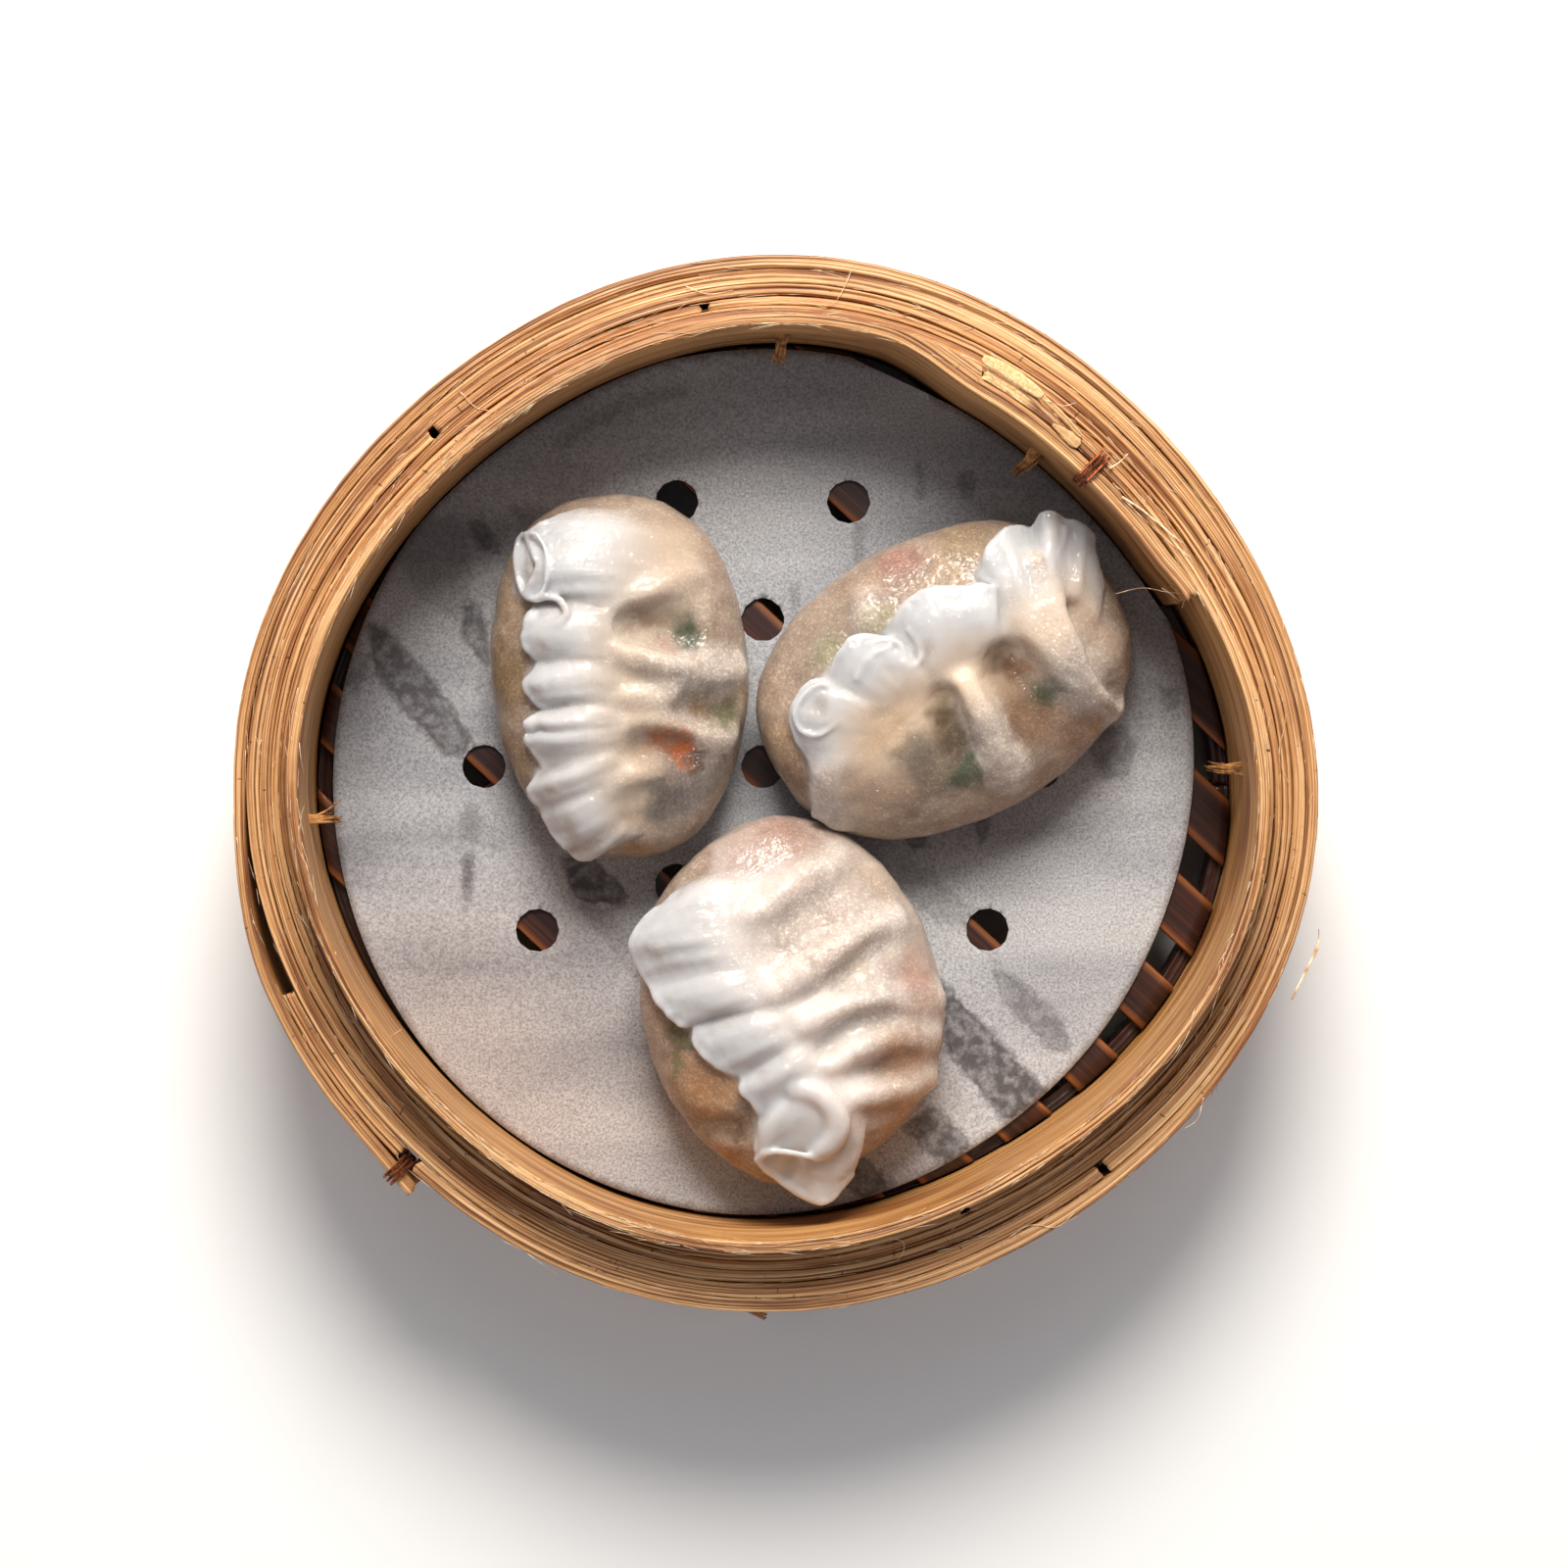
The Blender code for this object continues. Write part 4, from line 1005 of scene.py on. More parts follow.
def wireMaterial():
    # annealed copper wire, drawn and dulled by steam: brown-red with darker blotches
    material, tree = newMaterial("dulled_copper_wire")
    place = addNode(tree, "TexCoord", get="Object")
    blotch = addNode(tree, "TexNoise", {"Vector": place}, {"Scale": wire["blotches"], "Detail": 3.0})
    tone = addNode(tree, "ValToRGB", {"Fac": blotch}, ramp=[(0.35, wire["dark"]), (0.65, wire["bright"])])
    rough = addNode(tree, "MapRange", {"Value": blotch}, {"To Min": 0.3, "To Max": 0.5})
    return finishMaterial(material, {"Base Color": tone, "Roughness": rough}, {"Metallic": 0.85})


def fibreMaterial(name, pale, brown, roughness):
    # torn plant fibre: dry and matt, each strand its own tone
    material, tree = newMaterial(name)
    place = addNode(tree, "TexCoord", get="Object")
    strand = addNode(tree, "TexNoise", {"Vector": place}, {"Scale": fuzz["strands"], "Detail": 3.0})
    tone = addNode(tree, "ValToRGB", {"Fac": strand}, ramp=[(0.36, brown), (0.60, pale)])
    return finishMaterial(material, {"Base Color": tone}, {"Roughness": roughness})


def dressTies():
    copper = wireMaterial()
    for name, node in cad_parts.items():
        if name.startswith("tie_"):
            node.data.materials.clear()
            node.data.materials.append(copper)
            node.data.polygons.foreach_set("use_smooth", [True] * len(node.data.polygons))
    print("ties: wire")


def buildCaneEnds():
    # each cane end is a bundle of torn fibres that leaves the wall, droops and frays out
    material = fibreMaterial("frayed_cane", cane["pale"], cane["brown"], 0.7)
    for number, angle in enumerate(cane["ends"]):
        random = np.random.default_rng(100 + number)
        parts = []
        face = float(wallFace(np.array([angle]), cane["lapMargin"])[0])
        for _ in range(cane["fibres"]):
            stray = cane["stray"][0 if random.random() < cane["loose"] else 1]
            start = random.normal(0, cane["start"]) * cane["halfWidth"]
            spread = random.normal(0.3, stray) * cane["halfWidth"]
            length = random.uniform(*cane["length"])
            lift = random.normal(0, stray * 0.6)
            stops = []
            for share, out, drop in zip(cane["share"], cane["out"], cane["drop"]):
                side = start * (1 - share) + spread * share * 1.3
                stops.append(ringPoint(angle + math.degrees(side / face), face - out * length - share * lift,
                                       cane["root"] + drop * length + lift * share))
            path = smoothCurve(np.array(stops), 3)
            taper = np.linspace(*cane["taper"], len(path))
            radii = cane["fibreRadius"] * taper * random.uniform(*cane["thickness"])
            parts.append(thread(path, radii, 5))
        points, faces = joined(parts)
        newPiece(f"cane_end_{number + 1}", points, faces, material, [f"stitch_{number + 1}"])
    print("cane ends: frayed")


def buildFuzz():
    # pale hairs along the strips' cut edges, stray hairs across the band and tufts outside it
    random = np.random.default_rng(7)
    parts = []
    along = np.linspace(0, 1, 5)
    fine, coarse = fuzz["sides"]
    for _ in range(fuzz["count"]):
        angle = random.uniform(0, 360)
        length = random.uniform(*fuzz["length"])
        onRim = random.random() < fuzz["onRim"]
        at = np.array([angle])
        if onRim:
            radius = float(hoopFace(at)[0]) + random.choice(fuzz["rimFaces"])
            z = wall["hoopHeights"][1]
        else:
            inner, outer = lane(random.integers(0, 5))
            radius = float(random.choice((inner(at)[0] + 0.1, outer(at)[0] - 0.1)))
            z = wall["bandHeights"][1]
        radius += random.normal(0, fuzz["scatter"])
        rise = random.uniform(*fuzz["rise"])
        drift = random.normal(0, fuzz["drift"])
        bend = random.normal(0, fuzz["bend"])
        way = random.choice((-1, 1))
        path = [ringPoint(angle + way * math.degrees(length * share / radius),
                          radius + drift * share + bend * share ** 2,
                          z - fuzz["sunk"] + rise * math.sin(share * 2.2)) for share in along]
        parts.append(thread(path, fuzz["radius"] * np.linspace(1.0, 0.4, len(along)), fine))
    for height, thick, *stops in fuzz["hairs"].values():
        path = smoothCurve(np.array([seenAt(px, py, height) for px, py in stops], float), 6)
        parts.append(thread(path, fuzz["radius"] * thick * np.linspace(1.0, 0.5, len(path)), coarse))
    for angle, z, reach, count, length in fuzz["tufts"]:
        radius = float(bandFace(np.array([angle]))[0])
        for _ in range(count):
            start = angle + math.degrees(random.normal(0, reach * fuzz["tuftSpread"]) / radius)
            lean = random.normal(0, fuzz["tuftLean"])
            out = random.uniform(0.3, 1.0) * length * fuzz["tuftOut"]
            path = [ringPoint(start + math.degrees(lean * share * length / radius),
                              min(radius - 0.3 + out * share, fuzz["farthest"]),
                              z + share * random.normal(0, 0.3)) for share in along]
            parts.append(thread(path, fuzz["radius"] * np.linspace(1.6, 0.6, len(along)), fine))
    points, faces = joined(parts)
    newPiece("bamboo_fibres", points, faces,
             fibreMaterial("torn_bamboo_fibre", fuzz["pale"], fuzz["brown"], 0.6))
    print("fibres:", len(parts))


# The dumplings

skin = {
    "milk": "#c2c0bf",
    "edge": "#bcbec1",
    "chopped": ("#cdc3bb", "#fffdf8"),
    "dry": 0.55,  # how much of the wet film is left on the belly
    "pleat": 0.17,  # the height of the fine pleats that run from the flap's root to its edge
    "belly": "#b8a18d",
    "fold": "#dccfc4",  # where the skin is folded or stands off the filling
    "hollow": "#836649",  # where it is pressed into a hollow: partly the filling showing through and partly painted shade
    "colourful": 0.78,
    "shade": 0.84,  # how much of the filling's own brightness comes through
    "voxel": 0.3,
    "quickVoxel": 0.34,
    "reach": 10.0,  # distances are worked out this far from a surface
    "pixel": 0.157,  # the width of a pixel at the dumplings
    "rest": 18.0,  # they rest on the paper at this height
    "rings": 72,
    "sides": 96,
    "lineSteps": 5,  # the flap's rows from one of its lines to the next
    "stopSteps": 7,
    "flapHalf": 0.5,  # half the flap's thickness, two layers of skin
    "rimRadius": 0.45,  # the flap's free edge is pinched into a thicker rim
    "ruffle": 0.35,
    "bellyShare": 0.42,  # the belly is widest at this share of its height
    # powers of the belly's curves, less than 1 for a fuller form: its plan towards the ends, its
    # section's flanks and its section's top, and its back seen from the side
    "plan": 0.8,
    "flanks": 0.92,
    "crown": 0.9,
    "back": 0.6,
    # the solid under the flap: places from the root to the free edge, and its depth there
    "solidAt": (0, 0.5, 0.85, 1),
    "solidDepth": (3.0, 3.0, 1.2, 0.3),
    "ruffleSize": 1.7,
    # the flap's milkiness: how far from its free edge it fades out, where along the flap the root's
    # own fade ends, its strength at the root and what the free edge adds
    "edgeFade": 1.7,
    "rootEnds": (0.12, 0.5),
    "milkiness": (0.72, 0.26),
    "thinned": 0.4,  # how much less milky such a place is, partly thin skin and partly painted shade
    "pressed": 0.92,  # and how much less a place that is pressed on to the filling
    # patterns, per metre
    "grit": 2100.0,  # starch grains, 0.3 to 0.5 mm
    "chops": 330.0,  # chopped filling, 2 to 3 mm
    "ripples": 520.0,  # 2 mm waves in the wet film
    "beads": 1300.0,  # 0.7 mm beads that glint one by one
    # and how high they stand, with the streaks along the folds
    "gritRise": 0.3,
    "rippleRise": 0.3,
    "streakRise": 0.42,
    "beadRise": 0.2,
    "scatter": 3.8,  # how far light spreads in it
    # how far round its path each kind of form touches the skin, and how softly it joins it
    "joins": {"ridges": (5.0, 3.0), "rolls": (4.0, 1.0), "mouths": (3.0, 0.5), "rims": (2.0, 0.6),
              "edge": (2.0, 0.5), "hollows": (5.0, 2.8)},
    "solidJoins": 0.3,
    "flapJoins": 1.4,
    # the size, height and seed of the skin's lumps, and of its fine wrinkles
    "lumps": ((5.0, 0.30, 3), (2.2, 0.14, 4)),
    "wrinkles": (1.3, 0.045, 6),
    "wobble": ((2.4, 1.3, 0), (0.9, 0.7, 3)),  # and of the filling's uneven outlines
    "bellyWeight": 0.35,
    "ridgePale": 1.3,
    "ridgeWide": 1.05,
    "hollowWide": 0.8,
}

# Each dumpling's form. The places are pixels with a height over the belly and a radius there.
# egg, skew: how much broader one end is, and how far the ends are shifted to either side
# root: the flap's colour at its root
# hang: the height that the flap's outer part doesn't sink below
# fade: how far from the flap's root its milkiness fades out
# thin: where the flap is less milky, partly where it is a single thin layer and partly painted shade on its
# lobes' turned-away sides; pixels and a radius in pixels
# pale, wet: how strongly some ridges show pale, and the ridges with a full wet film
# fillings: pixels, a radius in pixels, the colour there and how strongly it shows through
dumplings = {
    "dumpling_left": {
        "centre": (-25.0, 17.7), "turn": 92.0, "halfLength": 29.3, "halfWidth": 20.7,
        "egg": 0.05, "skew": 0.02, "height": 20.6, "root": "#c4b19d", "hang": 31.0, "fade": 8.5,
        # the flap's lines from its root to its free edge: pixels and height over the belly
        "flap": {
            "top": ((672, 534, -0.8), (645, 528, -0.2), (615, 524, 0.5), (586, 525, 0.4)),
            "shoulder": ((680, 552, -0.5), (645, 542, 0.8), (600, 533, 2.0), (556, 535, 2.0)),
            "tube_top": ((684, 570, -0.3), (640, 560, 1.3), (590, 550, 2.9), (538, 547, 2.6)),
            "tube_crown": ((685, 590, -0.2), (635, 580, 1.6), (585, 575, 3.8), (548, 576, 3.6)),
            "tube_low": ((672, 610, -0.2), (630, 600, 1.4), (585, 600, 2.6), (538, 604, 2.0)),
            "notch_1": ((655, 628, 0.0), (620, 620, 1.0), (585, 616, 1.2), (550, 614, 0.4)),
            "lobe_2": ((645, 645, 0.2), (610, 640, 1.8), (572, 636, 2.6), (537, 640, 1.8)),
            "lobe_2_low": ((642, 660, 0.2), (605, 658, 1.8), (568, 656, 2.4), (535, 657, 1.6)),
            "notch_2": ((640, 676, 0.2), (605, 674, 1.4), (578, 674, 1.2), (551, 677, 0.3)),
            "lobe_3": ((640, 692, 0.2), (605, 690, 1.9), (568, 692, 2.6), (535, 697, 1.7)),
            "lobe_3_low": ((640, 704, 0.2), (605, 706, 1.7), (572, 708, 2.2), (544, 711, 1.2)),
            "notch_3": ((640, 716, 0.2), (610, 718, 1.3), (585, 720, 1.1), (558, 724, 0.3)),
            "lobe_4": ((642, 728, 0.2), (610, 732, 1.8), (572, 736, 2.4), (538, 738, 1.6)),
            "dip_4": ((644, 738, 0.2), (610, 743, 1.6), (575, 746, 1.8), (541, 747, 1.0)),
            "lobe_5": ((645, 748, 0.2), (610, 754, 1.7), (572, 757, 2.1), (538, 756, 1.4)),
            "notch_5": ((645, 758, 0.2), (615, 766, 1.2), (588, 774, 1.1), (556, 784, 0.4)),
            "lobe_6": ((643, 772, 0.2), (612, 782, 1.8), (578, 794, 2.4), (540, 806, 1.5)),
            "dip_6": ((640, 788, 0.2), (612, 800, 1.4), (582, 812, 1.5), (551, 820, 0.7)),
            "lobe_7": ((638, 802, 0.1), (614, 818, 1.7), (588, 832, 2.2), (560, 840, 1.2)),
            "tip_7": ((638, 816, 0.0), (618, 834, 1.5), (598, 848, 1.8), (574, 860, 1.0)),
            "dip_8": ((640, 828, -0.1), (624, 844, 1.0), (606, 858, 1.0), (583, 867, 0.5)),
            "tip_8": ((644, 836, -0.2), (632, 850, 0.9), (616, 864, 1.2), (597, 875, 0.8)),
            "bottom": ((655, 842, -0.5), (646, 850, 0.1), (636, 856, 0.4), (626, 861, 0.3)),
        },
        # soft rolls, rims and carved places: pixels, height over the belly and radius
        "rolls": {
            "tube_left": ((537, 557, 0.0, 1.4), (537, 577, 0.3, 1.7), (537, 599, -0.2, 1.4)),
            "tube_right": ((547, 557, 0.8, 1.4), (548, 577, 1.1, 1.6), (546, 599, 0.4, 1.4)),
        },
        "rims": {
            "tube": ((533, 545, 2.6, 0.4), (546, 545, 3.5, 0.4), (555, 557, 3.9, 0.4), (559, 577, 4.0, 0.4),
                     (556, 597, 3.6, 0.4), (547, 611, 2.7, 0.4), (535, 607, 2.0, 0.4), (528, 590, 1.8, 0.4),
                     (526, 570, 1.9, 0.4), (528, 553, 2.2, 0.4), (533, 545, 2.6, 0.4)),
            "curl_2": ((548, 611, 2.4, 0.5), (561, 609, 2.6, 0.5), (573, 614, 2.9, 0.5), (578, 626, 3.0, 0.5),
                       (570, 637, 2.7, 0.5)),
        },
        # where the flap is less milky, partly a single thin layer and partly painted shade: pixels and radius
        # in pixels
        "thin": {
            "mouth": (541, 580, 15), "lobe_2": (548, 661, 11), "lobe_3": (546, 708, 11),
            "lobe_4": (548, 742, 8), "lobe_6": (556, 815, 11), "lobe_7": (578, 850, 10),
        },
        "pale": {"main": 4.0},
        "wet": ("main", "upper", "middle"),
        "ridges": {
            "main": ((640, 666, 0.2, 2.2), (680, 678, 0.6, 2.4), (750, 685, -0.3, 1.9)),
            "upper": ((640, 622, 0.0, 2.0), (670, 600, 0.0, 1.8), (705, 585, -0.8, 1.6)),
            "middle": ((640, 712, 0.0, 1.6), (690, 712, 0.0, 1.6), (712, 708, -0.8, 1.4)),
            "lower": ((640, 742, 0.0, 1.6), (690, 742, 0.0, 1.6), (740, 752, -0.8, 1.4)),
            "low_fold": ((625, 800, 0.2, 1.6), (650, 785, 0.0, 1.6), (668, 778, -0.8, 1.4)),
        },
        "hollows": {
            "upper": ((650, 636, 0.9, 2.9), (676, 638, 1.3, 3.2), (704, 642, 2.4, 3.4)),
            "lower": ((708, 722, 1.5, 2.6), (748, 726, 1.8, 2.6)),
            "belly": ((660, 764, 2.0, 2.8), (700, 772, 2.0, 2.9)),
        },
        # filling seen through the skin: pixels, radius in pixels, colour and strength
        "fillings": {
            # the hollow colour here is partly painted shade in the upper hollow
            "green": (700, 641, 15, "#465b41", 2.4), "hollow": (656, 638, 16, "#8f6f50", 1.8),
            "pink": (684, 664, 11, "#c18c78", 1.0), "olive": (716, 722, 14, "#8f7146", 1.2),
            "green_low": (742, 730, 13, "#77794f", 1.1), "orange": (692, 764, 15, "#c86202", 3.4),
            "orange_left": (672, 754, 12, "#cc6a10", 2.6), "orange_soft": (672, 764, 26, "#c7a079", 0.7),
            "brown": (707, 776, 9, "#54392a", 1.4), "grey": (688, 800, 30, "#8f837c", 1.0),
            "dark": (676, 812, 18, "#5f5a55", 1.8), "grey_right": (722, 790, 20, "#92867d", 0.9),
            "left_edge": (512, 690, 30, "#a0855f", 1.0), "left_top": (520, 620, 20, "#b39a7e", 0.9),
            "left_low": (522, 780, 30, "#ab8c68", 0.9), "top_right": (728, 560, 34, "#c2a892", 0.8),
            "speckled": (700, 595, 34, "#cab6a4", 0.8), "bottom": (650, 868, 14, "#bd9154", 1.0),
            "side": (757, 700, 14, "#c3a26f", 0.8), "low_right": (740, 830, 20, "#b59a7c", 0.8),
        },
    },
    "dumpling_right": {
        "centre": (27.6, 17.1), "turn": 31.9, "halfLength": 30.9, "halfWidth": 23.3,
        "egg": 0.0, "skew": -0.04, "height": 20.8, "root": "#dfc7ad", "hang": 32.5, "fade": 9.5,
        "flap": {
            "foot": ((872, 838, -0.9), (852, 836, -0.4), (840, 834, -0.1), (831, 831, -0.3)),
            "foot_top": ((876, 815, -0.6), (856, 812, 0.1), (845, 810, 0.4), (836, 806, 0.1)),
            "low": ((880, 796, -0.5), (856, 790, 0.4), (843, 787, 0.8), (833, 784, 0.4)),
            "cheek": ((888, 778, -0.3), (858, 770, 1.0), (834, 765, 1.5), (818, 760, 1.0)),
            "curl_1": ((895, 757, 0.0), (860, 744, 1.8), (828, 736, 2.8), (809, 732, 2.0)),
            "curl_1_top": ((905, 740, 0.2), (872, 724, 2.0), (846, 710, 2.8), (824, 700, 2.2)),
            "notch_1": ((915, 730, 0.2), (888, 716, 1.4), (864, 704, 1.3), (846, 694, 0.5)),
            "lobe_2": ((925, 722, 0.3), (900, 702, 2.0), (878, 684, 2.8), (856, 668, 2.0)),
            "lobe_2_top": ((935, 715, 0.3), (915, 692, 2.2), (896, 669, 3.2), (878, 650, 2.4)),
            "lobe_2_side": ((948, 708, 0.3), (932, 687, 2.0), (918, 669, 2.7), (904, 653, 1.8)),
            "notch_2": ((960, 702, 0.3), (945, 681, 1.4), (930, 662, 1.1), (913, 645, 0.5)),
            "lobe_3": ((972, 696, 0.3), (958, 668, 2.2), (942, 640, 3.0), (925, 617, 2.2)),
            "lobe_3_top": ((988, 690, 0.3), (976, 655, 2.6), (966, 626, 3.6), (955, 602, 2.8)),
            "lobe_3_side": ((1003, 684, 0.3), (998, 650, 2.6), (994, 623, 3.6), (988, 599, 3.0)),
            "lobe_3_end": ((1015, 676, 0.3), (1014, 650, 2.4), (1015, 626, 3.2), (1014, 600, 2.6)),
            "notch_3": ((1028, 666, 0.2), (1024, 640, 1.6), (1016, 612, 1.2), (1005, 588, 0.6)),
            "lobe_4": ((1040, 656, 0.3), (1032, 622, 2.2), (1022, 590, 2.8), (1006, 566, 1.9)),
            "lobe_4_top": ((1050, 648, 0.3), (1046, 612, 2.4), (1038, 575, 3.2), (1027, 541, 2.4)),
            "notch_4": ((1060, 640, 0.3), (1060, 605, 1.8), (1056, 570, 1.8), (1052, 540, 1.2)),
            "lobe_5": ((1072, 632, 0.3), (1074, 595, 2.2), (1072, 560, 3.2), (1068, 524, 2.6)),
            "dip_5": ((1082, 628, 0.3), (1088, 592, 1.6), (1088, 560, 2.0), (1086, 533, 1.7)),
            "end": ((1092, 626, 0.2), (1100, 595, 1.8), (1104, 565, 2.6), (1105, 537, 2.2)),
            "end_side": ((1100, 632, -0.2), (1110, 605, 0.8), (1115, 580, 1.6), (1116, 555, 1.4)),
            "end_low": ((1108, 652, -0.5), (1118, 628, 0.0), (1122, 612, 0.5), (1123, 598, 0.5)),
        },
        "mouths": {"curl": ((830, 716, 5.5, 2.4), (838, 730, 5.4, 2.2))},
        "rims": {
            "curl": ((842, 698, 3.0, 0.4), (829, 701, 3.2, 0.4), (816, 714, 3.2, 0.4), (811, 731, 3.0, 0.4),
                     (816, 744, 3.0, 0.4), (829, 750, 3.0, 0.4), (842, 747, 2.9, 0.4), (853, 738, 2.3, 0.4)),
            "curl_in": ((845, 699, 2.4, 0.4), (848, 712, 2.6, 0.4), (844, 724, 2.3, 0.4)),
            "lobe_2": ((874, 692, 2.6, 0.45), (881, 678, 3.1, 0.45), (892, 667, 3.5, 0.45),
                       (908, 660, 3.2, 0.45)),
            "lobe_2_top": ((884, 657, 3.0, 0.45), (900, 653, 3.2, 0.45), (915, 655, 2.9, 0.45),
                           (921, 664, 2.6, 0.45), (923, 677, 2.5, 0.45)),
            "lobe_2_side": ((925, 678, 2.2, 0.5), (933, 680, 2.1, 0.5), (940, 670, 2.2, 0.5),
                            (938, 656, 2.2, 0.5), (928, 643, 2.2, 0.5)),
            "lobe_5_streak": ((1087, 538, 2.7, 0.5), (1084, 552, 2.9, 0.5), (1077, 566, 2.7, 0.5)),
        },
        "thin": {
            "curl": (833, 722, 13), "notch_2": (946, 660, 8), "end": (1108, 590, 16),
            "lobe_5": (1084, 585, 12), "lobe_4": (1030, 610, 11),
        },
        "pale": {"right": 16.0, "band": 9.0, "middle": 6.0},
        "wet": ("right", "band", "middle"),
        "ridges": {
            "right": ((1056, 578, 1.2, 2.8), (1078, 632, 1.4, 2.9), (1100, 672, 1.1, 2.7),
                      (1122, 704, -0.2, 2.3), (1136, 722, -1.7, 1.8)),
            "band": ((1030, 598, 0.3, 2.6), (1054, 640, 0.7, 2.7), (1080, 676, 0.6, 2.6),
                     (1108, 706, -0.5, 2.2)),
            "middle": ((984, 698, 0.6, 2.2), (1000, 726, 0.8, 2.2), (1016, 756, 0.5, 2.2),
                       (1030, 788, -0.6, 2.0)),
            "cheek": ((850, 775, -0.2, 2.2), (846, 800, -0.4, 2.2), (856, 830, -1.4, 1.8)),
            "bump": ((884, 612, -0.4, 1.8), (890, 636, -0.2, 1.8)),
        },
        "hollows": {
            "oval": ((1033, 684, 1.9, 3.9), (1046, 704, 2.1, 4.0), (1064, 738, 3.4, 4.4)),
            "crease": ((963, 716, 0.9, 1.8), (970, 742, 0.9, 2.0), (981, 772, 1.4, 1.8)),
            "side": ((1094, 628, 1.3, 1.6), (1106, 652, 1.0, 1.7), (1124, 684, 1.0, 1.6),
                     (1146, 712, 1.2, 1.2)),
        },
        "fillings": {
            "oval": (1033, 684, 25, "#7b5636", 2.2), "red": (1053, 683, 8, "#a4553a", 1.4),
            "green": (1073, 708, 15, "#4d5f48", 2.2), "yellow": (1108, 706, 5, "#c39a44", 1.2),
            "orange": (1124, 732, 15, "#c08b4a", 1.0), "dish_low": (1052, 728, 26, "#967459", 1.4),
            # the crease colours are partly painted shade along the crease
            "right_low": (1088, 744, 24, "#a98a70", 0.9), "crease": (962, 730, 16, "#5f4a2c", 2.6),
            "crease_low": (972, 756, 16, "#5f4f3c", 1.5), "ochre": (963, 703, 8, "#ad8a4a", 1.2),
            "grey": (928, 768, 20, "#70675a", 1.3), "grey_right": (955, 790, 20, "#8d7c67", 1.0),
            "green_low": (986, 790, 15, "#57634c", 1.4), "warm": (900, 745, 24, "#d3b084", 1.0),
            "low": (862, 802, 24, "#ad8f74", 0.9), "low_middle": (905, 818, 28, "#a2866e", 0.9),
            "ridge_orange": (1018, 778, 9, "#ba9064", 1.0), "pink": (917, 575, 20, "#bf9284", 1.0),
            "pink_left": (880, 600, 18, "#bea08a", 0.8), "yellow_green": (896, 634, 14, "#b3ae85", 1.0),
            "green_left": (846, 664, 16, "#b0ab88", 0.9), "side_green": (1129, 690, 7, "#4f5c40", 1.4),
            "side": (1110, 640, 16, "#c3a58e", 0.9), "left": (798, 760, 22, "#c4a07a", 0.9),
            "left_top": (790, 715, 20, "#c3a890", 0.9), "left_low": (812, 798, 15, "#96765a", 1.1),
            "top": (985, 552, 24, "#ae9574", 0.9), "top_mid": (960, 590, 22, "#c3a788", 0.8),
        },
    },
    "dumpling_front": {
        "centre": (2.5, -34.6), "turn": 127.6, "halfLength": 27.7, "halfWidth": 25.0,
        "egg": -0.03, "skew": -0.145, "height": 21.0, "root": "#e4dbd5", "hang": 32.5, "fade": 15.0,
        "flap": {
            "top": ((760, 890, -0.5), (735, 895, 0.4), (712, 903, 0.8), (696, 911, 0.3)),
            "shoulder": ((770, 905, 0.0), (735, 905, 1.6), (705, 912, 2.2), (682, 920, 1.4)),
            "lobe_1_top": ((775, 925, 0.2), (735, 925, 2.2), (695, 932, 3.0), (660, 938, 2.2)),
            "lobe_1": ((780, 945, 0.3), (735, 948, 2.4), (690, 955, 3.4), (645, 960, 2.5)),
            "lobe_1_low": ((785, 965, 0.3), (740, 970, 2.2), (700, 975, 2.6), (652, 984, 1.8)),
            "dip_1": ((790, 980, 0.3), (750, 988, 1.8), (710, 994, 1.8), (664, 1004, 1.2)),
            "lobe_2": ((795, 993, 0.3), (755, 1004, 2.2), (718, 1014, 2.8), (676, 1026, 1.9)),
            "lobe_2_low": ((800, 1005, 0.3), (765, 1018, 2.0), (735, 1028, 2.4), (694, 1043, 1.3)),
            "notch_2": ((806, 1016, 0.3), (775, 1030, 1.4), (745, 1036, 1.1), (709, 1043, 0.4)),
            "lobe_3": ((812, 1028, 0.3), (785, 1042, 2.0), (752, 1056, 2.4), (710, 1067, 1.4)),
            "lobe_3_low": ((818, 1040, 0.3), (795, 1056, 2.0), (768, 1072, 2.4), (732, 1088, 1.3)),
            "notch_3": ((826, 1052, 0.3), (806, 1068, 1.6), (785, 1082, 1.2), (757, 1098, 0.4)),
            "lobe_4": ((834, 1064, 0.3), (815, 1082, 2.2), (792, 1098, 2.6), (759, 1116, 1.5)),
            "notch_4": ((842, 1078, 0.3), (824, 1098, 1.8), (802, 1118, 1.5), (778, 1138, 0.8)),
            "tube_left": ((850, 1092, 0.3), (828, 1125, 2.2), (800, 1152, 2.2), (775, 1180, 1.2)),
            "tube": ((860, 1108, 0.3), (848, 1140, 2.2), (830, 1172, 1.8), (806, 1210, 0.6)),
            "tube_right": ((866, 1116, 0.1), (862, 1146, 2.0), (856, 1180, 1.8), (842, 1226, 1.0)),
            "side": ((874, 1128, -0.5), (880, 1150, 0.4), (878, 1170, 1.0), (868, 1198, 1.0)),
        },
        "rolls": {
            "curl": ((812, 1110, 1.4, 1.6), (836, 1117, 2.2, 1.7), (851, 1132, 2.6, 1.8),
                     (855, 1150, 2.7, 1.8), (848, 1166, 2.5, 1.7), (834, 1175, 2.0, 1.4)),
            "curl_left": ((797, 1132, 1.0, 1.6), (788, 1150, 1.2, 1.6), (783, 1168, 1.0, 1.4)),
        },
        "mouths": {"tube": ((803, 1207, 3.2, 1.9), (806, 1194, 3.0, 2.0))},
        "rims": {
            "tube": ((775, 1182, 1.8, 0.5), (782, 1176, 2.5, 0.5), (800, 1175, 3.0, 0.5),
